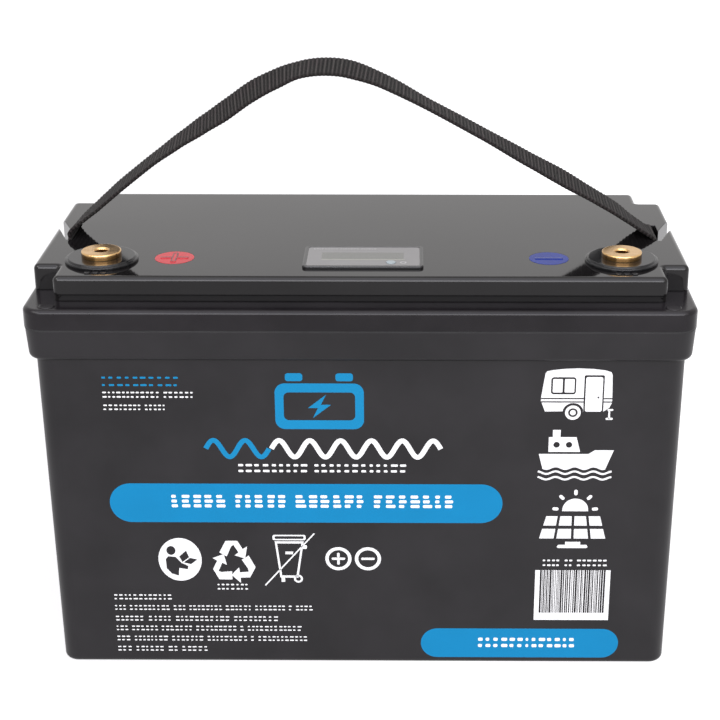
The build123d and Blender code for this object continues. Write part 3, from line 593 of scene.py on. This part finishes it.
def strap_route():
    """Points and tilts of the strap's middle line, from the left slot to the right one."""
    slot_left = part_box("strap_end_left")
    slot_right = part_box("strap_end_right")
    left_x = slot_left[0].x + webbing_thickness / 2
    right_x = slot_right[1].x - webbing_thickness / 2
    bottom = slot_left[0].z
    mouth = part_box("top_cover")[1].z
    depth = mouth - bottom
    left = [(left_x, bottom + depth * share) for share in (0.0, 0.35, 0.7, 1.0)]
    right = [
        (right_x - 1.3 * MM, mouth - 0.2 * MM), (right_x - 0.2 * MM, mouth - 2.6 * MM),
        (right_x, bottom + depth * 0.4), (right_x, bottom),
    ]
    stations = [(Vector((x, 0.0, z)), 0.0) for x, z in left]
    stations += [(Vector((x, 0.0, z)) * MM, math.radians(tilt)) for x, z, tilt in strap_stations]
    stations += [(Vector((x, 0.0, z)), 0.0) for x, z in right]
    return stations


def smooth_line(stations, step):
    """Points and tilts at an even step along a smooth curve through the stations."""
    places = [place for place, _ in stations]
    tilts = [tilt for _, tilt in stations]
    last = len(stations) - 1
    raw = []
    for i in range(last):
        before, here = places[max(i - 1, 0)], places[i]
        there, after = places[i + 1], places[min(i + 2, last)]
        gap = (there - here).length
        out = (there - before).normalized() * gap
        into = (after - here).normalized() * gap
        for k in range(steps_per_station):
            t = k / steps_per_station
            t2, t3 = t * t, t * t * t
            place = (
                here * (2 * t3 - 3 * t2 + 1) + out * (t3 - 2 * t2 + t)
                + there * (3 * t2 - 2 * t3) + into * (t3 - t2)
            )
            raw.append((place, tilts[i] + (tilts[i + 1] - tilts[i]) * t * t * (3 - 2 * t)))
    raw.append((places[-1], tilts[-1]))
    lengths = [0.0]
    for (a, _), (b, _) in zip(raw, raw[1:]):
        lengths.append(lengths[-1] + (b - a).length)
    count = int(lengths[-1] / step)
    even, segment = [], 0
    for number in range(count + 1):
        target = lengths[-1] * number / count
        while segment < len(raw) - 2 and lengths[segment + 1] < target:
            segment += 1
        share = (target - lengths[segment]) / (lengths[segment + 1] - lengths[segment])
        (a, tilt_a), (b, tilt_b) = raw[segment], raw[segment + 1]
        even.append((a.lerp(b, share), tilt_a + (tilt_b - tilt_a) * share))
    return even, lengths[-1] / count


def strap_section():
    """Outline of the webbing across: (across, up, share of rib relief), anticlockwise."""
    half, thick = webbing_width / 2, webbing_thickness / 2
    flat = half - thick
    top = [(flat - 2 * flat * i / cells_across, thick, 1.0) for i in range(cells_across + 1)]
    bends = (0.6, 1.2, math.pi / 2, 1.94, 2.54)
    left = [(-flat - thick * math.sin(a), thick * math.cos(a), 0.8) for a in bends]
    bottom = [(-x, -z, r) for x, z, r in top]
    right = [(-x, -z, r) for x, z, r in left]
    return top + left + bottom + right


def rib_shape(distance, v):
    """(height 0 to 1, painted light 0 to 1, edge growth) of the weave at one point."""
    phase = 2 * math.pi * distance / webbing_rib
    wave = 0.5 + 0.5 * math.cos(phase)
    bundle = math.floor((v + webbing_width) / (2 * webbing_yarn)) % 2
    cross = 0.5 + 0.5 * math.cos(phase + math.pi * bundle)
    every_other = 0.82 + 0.18 * math.cos(phase / 2)
    edge = max(0.0, abs(v) / (webbing_width / 2) - 0.85) / 0.15
    height = 0.75 * wave + 0.25 * cross
    # Painted light and shade: lightest on the rib crests, every other rib a little darker, evened out near
    # the edges.
    bright = (wave ** 1.6 * every_other) * (1 - 0.5 * edge) + 0.18 * edge + 0.14 * cross
    return height, min(1.0, bright), edge


def make_strap(material):
    """The whole length of webbing, one closed mesh with woven ribs in its surface."""
    line, step = smooth_line(strap_route(), webbing_rib / steps_per_rib)
    section = strap_section()
    count = len(section)
    points, along, across, painted_light_values = [], [], [], []
    for i, (centre, tilt) in enumerate(line):
        ahead = line[min(i + 1, len(line) - 1)][0] - line[max(i - 1, 0)][0]
        tangent = ahead.normalized()
        wide = Vector((0.0, 1.0, 0.0))
        up = tangent.cross(wide)
        side = wide * math.cos(tilt) + up * math.sin(tilt)
        lift = up * math.cos(tilt) - wide * math.sin(tilt)
        for v, z, share in section:
            height, bright, edge = rib_shape(i * step, v)
            grow = 1.0 + edge_scallop / (webbing_width / 2) * edge * (2 * height - 1)
            rise = rib_height * (share * height - 0.5) + selvage_height * edge
            outward = 1.0 if z >= 0 else -1.0
            points.append(centre + side * (v * grow) + lift * (z + outward * rise))
            along.append(i * step)
            across.append(v)
            painted_light_values.append(bright)
    faces = []
    for i in range(len(line) - 1):
        for j in range(count):
            k = (j + 1) % count
            faces.append((i * count + j, i * count + k, (i + 1) * count + k, (i + 1) * count + j))
    faces.append(tuple(reversed(range(count))))
    last = (len(line) - 1) * count
    faces.append(tuple(range(last, last + count)))
    strap = new_piece("carrying_strap", points, faces, material, None, smooth=True)
    # The painted light of each point is kept as an attribute for the webbing's colour.
    for name, values in (("strap_along", along), ("strap_across", across), ("strap_painted_light", painted_light_values)):
        layer = strap.data.attributes.new(name, "FLOAT", "POINT")
        layer.data.foreach_set("value", values)
    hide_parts("handle_strap", "strap_end_left", "strap_end_right")
    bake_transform(strap)


# -------- flat outlines, in millimetres
def rectangle(x0, z0, x1, z1):
    """Corners of an upright rectangle."""
    return [(x0, z0), (x1, z0), (x1, z1), (x0, z1)]


def arc(cx, cz, radius, start, end, steps):
    """Points along part of a circle, angles in degrees."""
    angles = [math.radians(start + (end - start) * i / steps) for i in range(steps + 1)]
    return [(cx + radius * math.cos(a), cz + radius * math.sin(a)) for a in angles]


def circle(cx, cz, radius, steps=40):
    """Round outline."""
    return arc(cx, cz, radius, 0, 360, steps)[:-1]


def ring(cx, cz, outer, inner, steps=40):
    """Round outline with a round hole."""
    return circle(cx, cz, outer, steps), circle(cx, cz, inner, steps)


def rounded(x0, z0, x1, z1, radius, steps=5):
    """Rectangle with rounded corners."""
    radius = min(radius, (x1 - x0) / 2, (z1 - z0) / 2)
    outline = arc(x1 - radius, z1 - radius, radius, 0, 90, steps)
    outline += arc(x0 + radius, z1 - radius, radius, 90, 180, steps)
    outline += arc(x0 + radius, z0 + radius, radius, 180, 270, steps)
    outline += arc(x1 - radius, z0 + radius, radius, 270, 360, steps)
    return outline


def turned(outline, cx, cz, degrees):
    """Outline turned about a point."""
    c, s = math.cos(math.radians(degrees)), math.sin(math.radians(degrees))
    return [(cx + (x - cx) * c - (z - cz) * s, cz + (x - cx) * s + (z - cz) * c) for x, z in outline]


def bar(start, end, width):
    """Straight bar of a given width with round ends."""
    (x0, z0), (x1, z1) = start, end
    half = width / 2
    level = rounded(x0 - half, z0 - half, x0 + math.hypot(x1 - x0, z1 - z0) + half, z0 + half, half, 4)
    return turned(level, x0, z0, math.degrees(math.atan2(z1 - z0, x1 - x0)))


def ribbon(points, width):
    """Band of even width along a line of points, with square ends."""
    left, right = [], []
    for i, (x, z) in enumerate(points):
        ax, az = points[max(i - 1, 0)]
        bx, bz = points[min(i + 1, len(points) - 1)]
        length = math.hypot(bx - ax, bz - az)
        nx, nz = (az - bz) / length * width / 2, (bx - ax) / length * width / 2
        left.append((x + nx, z + nz))
        right.append((x - nx, z - nz))
    return right + left[::-1]


def frame_of(box):
    """Function that places shares of a box's width and height."""
    x0, z0, x1, z1 = box
    return lambda u, v: (x0 + u * (x1 - x0), z0 + v * (z1 - z0))


def signed_area(loop):
    """Twice the area inside a loop, positive when it runs anticlockwise."""
    return sum(p[0] * q[1] - q[0] * p[1] for p, q in zip(loop, loop[1:] + loop[:1]))


def film(name, shapes, place, material, lift, thickness=0.03):
    """Thin closed film.  A shape is an outline, or (outline, hole, hole...).

    place turns (across, up, height above the surface) into a point.
    """
    points, faces = [], []
    for shape in shapes:
        loops = [shape] if isinstance(shape[0][0], (int, float)) else list(shape)
        flat = [p for loop in loops for p in loop]
        triangles = tessellate_polygon([[Vector((x, z, 0.0)) for x, z in loop] for loop in loops])
        first, count = len(points), len(flat)
        for height in (lift, lift - thickness):
            points.extend(place(x, z, height) for x, z in flat)
        for corners in triangles:
            a, b, c = corners
            if signed_area([flat[a], flat[b], flat[c]]) < 0:
                b, c = c, b
            faces.append((first + a, first + b, first + c))
            faces.append((first + count + a, first + count + c, first + count + b))
        start = first
        for loop in loops:
            outward = (signed_area(loop) > 0) == (loop is loops[0])
            for i in range(len(loop)):
                a, b = start + i, start + (i + 1) % len(loop)
                if not outward:
                    a, b = b, a
                faces.append((a, a + count, b + count, b))
            start += len(loop)
    return new_piece(name, points, faces, material)


def block_row(box, words, seed, layers=2, weight=0.52):
    """Short stacked dashes grouped like words, which stand in for a line of lettering.

    weight is the share of the line's height that the layers of dashes fill.
    """
    x0, z0, x1, z1 = box
    maker = random.Random(seed)
    widths, gaps = [], []
    for word in words:
        for letter in range(word):
            widths.append(maker.uniform(0.5, 0.8))
            gaps.append(0.22 if letter < word - 1 else 0.75)
    gaps[-1] = 0.0
    unit = (x1 - x0) / (sum(widths) + sum(gaps))
    thickness = (z1 - z0) * weight / layers
    pitch = (z1 - z0 - thickness) / max(layers - 1, 1)
    outlines, x = [], x0
    for width, gap in zip(widths, gaps):
        for layer in range(layers):
            low = z0 + pitch * layer
            end = x + width * unit * maker.uniform(0.6, 1.0)
            outlines.append(rounded(x, low, end, low + thickness, 0.3 * thickness, 2))
        x += (width + gap) * unit
    return outlines


# -------- printed symbols
def caravan_symbol(box):
    """Side view of a touring caravan."""
    at = frame_of(box)
    width = box[2] - box[0]
    roof = [at(0.947, 0.93), at(0.86, 0.965), at(0.7, 0.99), at(0.5, 1.0), at(0.3, 0.99), at(0.15, 0.965)]
    roof += [at(0.075, 0.945), at(0.05, 0.9)]
    door_frame = [at(0.585, 0.43), at(0.585, 0.85), at(0.6, 0.87), at(0.845, 0.87), at(0.86, 0.85)]
    upper = [at(0.0, 0.43), *door_frame, at(0.86, 0.43), at(0.975, 0.43), at(0.965, 0.87), *roof]
    window = rounded(*at(0.133, 0.5), *at(0.474, 0.83), 1.4)
    panes = [rounded(*at(left, 0.535), *at(left + 0.135, 0.795), 0.5) for left in (0.156, 0.318)]
    door = (rounded(*at(0.607, 0.165), *at(0.84, 0.835), 1.0), circle(*at(0.785, 0.44), 0.5, 14))
    stripes = [rectangle(*at(0.0, 0.365), *at(0.585, 0.405)), rectangle(*at(0.86, 0.365), *at(0.975, 0.405))]
    wheel_place = at(0.445, 0.144)
    arch = arc(*wheel_place, 0.145 * width, 172, 8, 12)
    skirt = [at(0.585, 0.165), at(0.585, 0.34), at(0.01, 0.34), at(0.06, 0.165), *arch]
    rear_skirt = [at(0.86, 0.165), at(0.94, 0.24), at(0.975, 0.34), at(0.86, 0.34)]
    wheel = ring(*wheel_place, 0.108 * width, 0.066 * width)
    hub = circle(*wheel_place, 0.04 * width, 20)
    jack = [bar(at(0.945, 0.18), at(0.945, 0.03), 0.9), bar(at(0.915, 0.025), at(0.98, 0.025), 1.2)]
    jack.append(bar(at(0.93, 0.2), at(0.985, 0.2), 1.0))
    return [(upper, window), *panes, door, *stripes, skirt, rear_skirt, wheel, hub, *jack]


def boat_symbol(box):
    """Small motor boat over two waves."""
    at = frame_of(box)
    width = box[2] - box[0]

    def water(level, start, end, steps):
        shares = [start + (end - start) * i / steps for i in range(steps + 1)]
        return [at(u, level + 0.026 * math.cos(2 * math.pi * (4 * u + 0.05))) for u in shares]

    keel = water(0.235, 0.06, 0.89, 36)
    hull = keel + [at(0.995, 0.6), at(0.745, 0.6), at(0.66, 0.525), at(0.005, 0.525)]
    cabin = [at(0.13, 0.565), at(0.55, 0.565), at(0.495, 0.855), at(0.283, 0.855), at(0.283, 0.995)]
    cabin += [at(0.181, 0.995), at(0.181, 0.855), at(0.13, 0.855)]
    portholes = [circle(*at(u, 0.705), 0.042 * width, 20) for u in (0.235, 0.4)]
    waves = [ribbon(water(level, 0.0, 0.98, 60), 1.05) for level in (0.155, 0.045)]
    return [hull, (cabin, *portholes), *waves]


def solar_symbol(box):
    """Rising sun over a tilted solar panel."""
    at = frame_of(box)
    width = box[2] - box[0]
    sun_x, sun_z = at(0.515, 0.63)
    shapes = [arc(sun_x, sun_z, 0.187 * width, 0, 180, 20) + [(sun_x - 0.187 * width, sun_z - 0.6)]]
    shapes[0].append((sun_x + 0.187 * width, sun_z - 0.6))
    for angle in (4, 46, 90, 134, 176):
        c, s = math.cos(math.radians(angle)), math.sin(math.radians(angle))
        near, far = 0.265 * width, 0.305 * width
        shapes.append(bar((sun_x + near * c, sun_z + near * s), (sun_x + far * c, sun_z + far * s), 1.8))
    gap = 0.02
    for low, high in ((0.16, 0.32), (0.375, 0.53)):
        for column in range(4):
            corners = []
            for level in (low, high):
                lean = 0.25 * (level - 0.16) + gap / 2
                pitch = (1.0 - 2 * lean + gap) / 4
                corners.append((lean + pitch * column, lean + pitch * (column + 1) - 2 * gap, level))
            (start_low, end_low, _), (start_high, end_high, _) = corners
            shapes.append([at(start_low, low), at(end_low, low), at(end_high, high), at(start_high, high)])
    foot = [at(0.29, 0.0), at(0.7, 0.0), at(0.72, 0.02), at(0.7, 0.055), at(0.61, 0.055)]
    foot += [at(0.61, 0.105), at(0.39, 0.105), at(0.39, 0.055), at(0.29, 0.055), at(0.27, 0.02)]
    return shapes + [foot]


def booklet_symbol(box):
    """Disc with a plain reader and an open booklet cut out of it."""
    x0, z0, x1, z1 = box
    cx, cz = (x0 + x1) / 2, (z0 + z1) / 2
    half_x, half_z = (x1 - x0) / 2, (z1 - z0) / 2

    def at(u, v):
        return (cx + u * half_x, cz + v * half_z)

    disc = [at(u, v) for u, v in circle(0.0, 0.0, 1.0, 56)]
    head = [at(u, v) for u, v in circle(-0.4, 0.42, 0.21, 24)]
    body = [at(-0.66, 0.02), at(-0.54, 0.15), at(-0.2, 0.12), at(0.06, -0.16), at(0.36, -0.3)]
    body += [at(0.34, -0.46), at(-0.06, -0.4), at(-0.1, -0.76), at(-0.42, -0.66), at(-0.64, -0.42)]
    left_page = [at(-0.03, 0.14), at(0.3, 0.42), at(0.42, 0.1), at(0.1, -0.12)]
    right_page = [at(0.46, 0.08), at(0.8, 0.0), at(0.5, -0.22), at(0.16, -0.14)]
    return [(disc, head, body, left_page, right_page)]


def cycle_symbol(box):
    """Three bent arrows that follow each other round a triangle."""
    x0, z0, x1, z1 = box
    cx, cz = (x0 + x1) / 2, z0 + (z1 - z0) * 0.4
    half_x, half_z = (x1 - x0) * 0.555, (z1 - z0) * 0.59
    band = [(-0.58, 0.42), (-0.3, 0.9), (0.2, 0.9), (0.41, 0.56), (0.6, 0.67), (0.5, 0.17)]
    band += [(0.06, 0.3), (0.23, 0.42), (0.02, 0.74), (-0.08, 0.66), (-0.28, 0.25)]
    arrows = [turned(band, 0.0, 0.0, turn) for turn in (0, 120, 240)]
    return [[(cx + u * half_x, cz + v * half_z) for u, v in arrow] for arrow in arrows]


def bin_symbol(box):
    """Plain wheeled bin with one slanting stroke."""
    at = frame_of(box)
    width = box[2] - box[0]
    outside = [at(0.22, 0.84), at(0.31, 0.16), at(0.66, 0.16), at(0.78, 0.84)]
    inside = [at(0.265, 0.8), at(0.345, 0.2), at(0.625, 0.2), at(0.735, 0.8)]
    lid = (rounded(*at(0.18, 0.86), *at(0.82, 0.96), 1.0), rounded(*at(0.22, 0.885), *at(0.78, 0.935), 0.5))
    label = rectangle(*at(0.42, 0.6), *at(0.57, 0.65))
    hook = rounded(*at(0.76, 0.7), *at(0.84, 0.77), 0.5)
    wheel = (circle(*at(0.66, 0.14), 0.088 * width, 24), circle(*at(0.66, 0.14), 0.048 * width, 18))
    foot = rectangle(*at(0.33, 0.08), *at(0.4, 0.16))
    stroke = bar(at(0.02, 0.02), at(0.98, 0.98), 0.75)
    return [(outside, inside), lid, label, hook, wheel, foot, stroke]


def polarity_symbol(box):
    """Two open rings, one with a plus in it and one with a minus."""
    x0, z0, x1, z1 = box
    radius = (x1 - x0) * 0.235
    level = (z0 + z1) / 2
    reach = radius * 0.42
    stroke = radius * 0.2
    shapes = []
    for cx, has_upright in ((x0 + radius, True), (x1 - radius, False)):
        shapes.append(ring(cx, level, radius, radius * 0.74, 48))
        shapes.append(bar((cx - reach, level), (cx + reach, level), stroke))
        if has_upright:
            shapes.append(bar((cx, level + stroke), (cx, level + reach), stroke))
            shapes.append(bar((cx, level - reach), (cx, level - stroke), stroke))
    return shapes


def battery_emblem(box):
    """Plain battery outline with a bolt in it."""
    at = frame_of(box)
    outside = rounded(*at(0.04, 0.0), *at(0.96, 0.82), 5.0, 8)
    inside = rounded(*at(0.13, 0.16), *at(0.87, 0.66), 2.6, 6)
    posts = [rounded(*at(left, 0.86), *at(left + 0.18, 1.0), 1.4) for left in (0.15, 0.67)]
    bolt = [at(0.57, 0.62), at(0.38, 0.38), at(0.485, 0.38), at(0.43, 0.2), at(0.62, 0.44), at(0.515, 0.44)]
    return [(outside, inside), *posts, bolt]


def current_wave(x0, x1, level, height, waves, width, steps=26):
    """Band that swings up and down like an alternating current."""
    count = int(waves * steps)
    points = []
    for i in range(count + 1):
        share = i / count
        swing = math.sin(2 * math.pi * waves * share)
        points.append((x0 + (x1 - x0) * share, level + (height - width) / 2 * swing))
    return ribbon(points, width)


def stripe_code(box, seed):
    """Upright stripes of mixed widths that stand for no number."""
    x0, z0, x1, z1 = box
    maker = random.Random(seed)
    stripes, x = [], x0
    while x < x1 - 1.0:
        width = maker.choice((0.3, 0.3, 0.6, 0.9))
        stripes.append(rectangle(x, z0, x + width, z1))
        x += width + maker.choice((0.35, 0.35, 0.6))
    return stripes


# Printing on the front face.  A box is left, bottom, right, top.
ink_lift = 0.05
second_ink_lift = 0.09
ink_colours = {
    "white": (0.5, 0.5, 0.5),
    "blue": (0.0015, 0.122, 0.258),
    "light_blue": (0.003, 0.13, 0.265),
    "dark": (0.006, 0.005, 0.006),
}
# Blue bands with round ends: piece, box, steps round each quarter.
bands = [
    ("rating_band", (-128.4, 83.7, 71.8, 105.8), 16),
    ("maker_band", (30.6, 3.6, 134.7, 21.2), 14),
]
# Symbols: piece, what draws it, box, ink.
symbols = [
    ("emblem", battery_emblem, (-44.5, 136.4, 3.6, 166.7), "light_blue"),
    ("booklet_symbol", booklet_symbol, (-105.4, 49.4, -83.0, 74.5), "white"),
    ("cycle_symbol", cycle_symbol, (-77.6, 50.7, -55.6, 74.6), "white"),
    ("bin_symbol", bin_symbol, (-50.8, 46.4, -24.1, 77.8), "white"),
    ("polarity_symbol", polarity_symbol, (-19.0, 51.9, 9.8, 73.5), "white"),
    ("caravan_symbol", caravan_symbol, (89.5, 141.8, 125.7, 169.7), "white"),
    ("boat_symbol", boat_symbol, (89.2, 108.2, 127.2, 136.5), "white"),
    ("solar_symbol", solar_symbol, (90.7, 69.4, 126.1, 104.2), "white"),
]
# Rows of dashes: piece, box, word lengths, seed, layers, weight, ink, lift.
dash_rows = [
    ("rating_blocks", (-96.9, 92.3, 47.4, 99.4), (5, 5, 6, 7), 3, 3, 0.72, "white", second_ink_lift),
    ("maker_blocks", (60.8, 9.9, 111.6, 15.6), (13,), 5, 2, 0.66, "white", second_ink_lift),
    ("subtitle_blocks", (-62.1, 112.4, 23.1, 116.9), (9, 12), 13, 2, 0.56, "white", ink_lift),
    ("number_blocks", (-128.0, 159.6, -90.0, 164.6), (10,), 21, 2, 0.4, "light_blue", ink_lift),
    ("type_blocks", (-128.1, 153.3, -83.0, 156.5), (12, 6), 22, 2, 0.52, "white", ink_lift),
    ("cell_blocks", (-128.1, 146.6, -97.1, 149.5), (8, 5), 23, 2, 0.52, "white", ink_lift),
    ("cycle_blocks", (-75.4, 44.2, -59.3, 47.6), (7,), 31, 2, 0.52, "white", ink_lift),
    ("origin_blocks", (93.4, 58.8, 126.5, 62.6), (4, 2, 6), 51, 2, 0.52, "white", ink_lift),
]
# The wavy title: piece, left, right, waves, ink.
title_low, title_high = 119.6, 131.4
title_stroke = 2.6
title_waves = [
    ("title_wave_blue", -78.1, -46.2, 2.0, "light_blue"),
    ("title_wave_white", -45.0, 40.1, 5.5, "white"),
]
# The notice: bottom, top and right of each line, and its word lengths.
notice_left = -129.7
notice_seed = 40
notice_lines = [
    (38.1, 41.1, -99.5, (12,)),
    (31.8, 34.6, -25.9, (3, 9, 3, 8, 6, 7, 1, 4)),
    (25.3, 28.1, -44.3, (6, 5, 11, 9)),
    (19.4, 22.2, -32.2, (3, 6, 7, 9, 1, 12)),
    (13.2, 16.0, -29.2, (3, 8, 7, 9, 1, 11)),
    (6.9, 9.7, -82.1, (3, 6, 2, 5)),
]
code_panel = (89.7, 26.6, 128.7, 56.4)
code_box = (92.2, 31.0, 126.4, 56.4)
code_seed = 61


def print_front():
    """All the printing on the front face, with symbols and dashes in place of any wording."""
    base_y, slope = front_face()
    inks = {name: ink("ink_" + name, colour) for name, colour in ink_colours.items()}

    def on_face(x, z, height):
        return Vector((x * MM, base_y + slope * z * MM - height * MM, z * MM))

    def put(name, shapes, colour, lift=ink_lift):
        film(name, shapes, on_face, inks[colour], lift)

    for name, box, steps in bands:
        put(name, [rounded(*box, (box[3] - box[1]) / 2, steps)], "blue")
    for name, draw, box, colour in symbols:
        put(name, draw(box), colour)
    for name, box, words, seed, layers, weight, colour, lift in dash_rows:
        put(name, block_row(box, words, seed, layers, weight), colour, lift)

    level, height = (title_low + title_high) / 2, title_high - title_low
    for name, x0, x1, waves, colour in title_waves:
        put(name, [current_wave(x0, x1, level, height, waves, title_stroke)], colour)
    notice = []
    for number, (low, high, end, words) in enumerate(notice_lines):
        notice += block_row((notice_left, low, end, high), words, notice_seed + number)
    put("notice_blocks", notice, "white")
    put("stripe_panel", [rectangle(*code_panel)], "white")
    put("stripes", stripe_code(code_box, code_seed), "dark", second_ink_lift)


# -------- terminals and meter
thread_pitch = 1.25 * MM
thread_start = 3.2 * MM
thread_end = 13.0 * MM
thread_flank = 0.45 * thread_pitch
thread_steps = 40
thread_foot = 3.42 * MM
thread_crest = 3.08 * MM


def thread_ridge(name, centre_x, material):
    """Helical ridge of an M8 thread inside one terminal's bore."""
    bottom, top = terminal_top - thread_end, terminal_top - thread_start
    profile = [(thread_foot, -thread_flank), (thread_crest, 0.0), (thread_foot, thread_flank)]
    total = int((top - bottom) / thread_pitch * thread_steps)
    points, faces = [], []
    for i in range(total + 1):
        turns = i / thread_steps
        c, s = math.cos(2 * math.pi * turns), math.sin(2 * math.pi * turns)
        for r, dz in profile:
            points.append((centre_x + r * c, terminal_y + r * s, bottom + thread_pitch * turns + dz))
    for i in range(total):
        for j in range(3):
            k = (j + 1) % 3
            faces.append((i * 3 + j, i * 3 + k, (i + 1) * 3 + k, (i + 1) * 3 + j))
    faces.append((0, 2, 1))
    faces.append((total * 3, total * 3 + 1, total * 3 + 2))
    new_piece(name, points, faces, material, smooth=True)


# Small prints on the meter and the discs, moulded dashes and the strip of painted shade in the seam, in
# millimetres.
print_lift = 0.04
pane_margin_x, pane_margin_y = 1.4, 0.6
pane_edge_low, pane_edge_high = 2.2, 0.2
meter_row = (-4.6, 27.0)
meter_row_drop, meter_row_height = 3.4, 1.5
meter_row_seed = 71
ring_outer, ring_inner = 1.65, 1.05
ring_right, ring_down = 3.0, 0.3
line_reach = 6.9
line_half = 0.55
upright_half, upright_inner_half = 1.25, 0.7
upright_inner_reach = 6.0
arm_start = 1.3
dash_size, dash_pitch, dash_corner = 2.9, 4.0, 0.9
dash_left, dash_forward = 5.2, 21.9
dash_height, dash_thickness = 0.5, 0.55
seam_shade_inset, seam_shade_width, seam_shade_corner = 0.12, 0.5, 9.9
seam_shade_lift, seam_shade_thickness = 0.3, 0.6


def above(level, cx=0.0, cy=0.0):
    """Function that places (x, y, height) about a centre on a level face."""
    return lambda x, y, height: Vector(((cx + x) * MM, (cy + y) * MM, level + height * MM))


def meter_details():
    """Display pane with a paler edge, a row of dashes and the ring beside the button."""
    window_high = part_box("meter_window")[1]
    lcd_low, lcd_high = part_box("meter_lcd")
    button_low, button_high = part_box("meter_button")
    pane = meter_film("display_pane", (0.055, 0.056, 0.051), (0.07, 0.07, 0.064))
    pale = meter_film("film_pale", (0.2, 0.197, 0.197), (0.23, 0.227, 0.227))
    edge = meter_film("display_edge", (0.115, 0.115, 0.1), (0.13, 0.13, 0.115))
    x0, x1 = lcd_low.x / MM + pane_margin_x, lcd_high.x / MM - pane_margin_x
    y0, y1 = lcd_low.y / MM + pane_margin_y, lcd_high.y / MM - pane_margin_y
    row_y = window_high.y / MM - meter_row_drop
    row = (x0 + meter_row[0], row_y, x0 + meter_row[1], row_y + meter_row_height)
    ring_x = button_high.x / MM + ring_right
    ring_y = (button_low.y + button_high.y) / 2 / MM - ring_down
    pane_edge = rounded(x0, y0 - pane_edge_low, x1 + 0.6, y0 - pane_edge_high, 0.8)
    for name, shapes, material in (
        ("display_pane", [rounded(x0, y0, x1, y1, 0.5)], pane),
        ("display_edge", [pane_edge], edge),
        ("meter_blocks", block_row(row, (9, 7, 6), meter_row_seed), pale),
        ("meter_ring", [ring(ring_x, ring_y, ring_outer, ring_inner, 28)], pale),
    ):
        film(name, shapes, above(window_high.z), material, print_lift)


def disc_lines(materials):
    """Plus with an open upright on the red disc, and a minus on the blue one, drawn as dark lines of painted
    shade on the moulded marks.
    """
    outer = rounded(-upright_half, -line_reach, upright_half, line_reach, 1.2)
    inner = rounded(
        -upright_inner_half, -upright_inner_reach, upright_inner_half, upright_inner_reach, 0.65
    )
    arms = [
        rounded(-line_reach, -line_half, -arm_start, line_half, 0.5),
        rounded(arm_start, -line_half, line_reach, line_half, 0.5),
    ]
    minus = [rounded(-line_reach, -line_half, line_reach, line_half, 0.5)]
    for end, shapes, colour in (("positive", [(outer, inner), *arms], "red"), ("negative", minus, "blue")):
        low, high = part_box("polarity_mark_" + end)
        on_disc = above(high.z, (low.x + high.x) / 2 / MM, (low.y + high.y) / 2 / MM)
        film("polarity_line_" + end, shapes, on_disc, materials["mark_line_" + colour], print_lift)


def moulded_dashes(material):
    """Three raised dashes on the cover in front of each collar."""
    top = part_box("top_cover")[1].z
    for end, x in (("positive", -terminal_x), ("negative", terminal_x)):
        on_cover = above(top, x / MM - dash_left, terminal_y / MM - dash_forward)
        starts = [dash_pitch * number for number in range(3)]
        dashes = [rounded(x0, 0.0, x0 + dash_size, dash_size, dash_corner, 4) for x0 in starts]
        name = "moulded_dashes_" + end
        film(name, dashes, on_cover, material, dash_height, dash_thickness)


def painted_seam_shade():
    """Dark strip in the groove between the container and the lid: painted shade where the groove's shadow
    falls.
    """
    low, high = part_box("lid")
    loops = []
    for inset, corner in ((seam_shade_inset, seam_shade_corner), (seam_shade_inset + seam_shade_width, seam_shade_corner - seam_shade_width)):
        x0, y0 = low.x / MM + inset, low.y / MM + inset
        x1, y1 = high.x / MM - inset, high.y / MM - inset
        loops.append(rounded(x0, y0, x1, y1, corner, 10))
    # Near-black colour of the strip: painted shade.
    material = soft_skin("painted_seam_shade", (0.004, 0.004, 0.0045), 0.8, 1500.0, 0.00001)
    film("painted_seam_shade", [tuple(loops)], above(low.z), material, seam_shade_lift, seam_shade_thickness)


# -------- assembly
negative_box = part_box("terminal_insert_negative")
terminal_x = (negative_box[0].x + negative_box[1].x) / 2
terminal_y = (negative_box[0].y + negative_box[1].y) / 2
terminal_top = negative_box[1].z

make_camera()
studio()
materials = slot_materials()
# Dark line colours for the discs: painted shade, made with the ink shader.
materials["mark_line_red"] = ink("mark_line_red", (0.07, 0.022, 0.024), 0.3, 0.3)
materials["mark_line_blue"] = ink("mark_line_blue", (0.02, 0.028, 0.12), 0.3, 0.3)
paint_cad_nodes(materials)
make_strap(materials["webbing"])
print_front()
thread_ridge("thread_positive", -terminal_x, materials["terminal_brass"])
thread_ridge("thread_negative", terminal_x, materials["terminal_brass"])
meter_details()
disc_lines(materials)
moulded_dashes(materials["cover_plastic"])
painted_seam_shade()
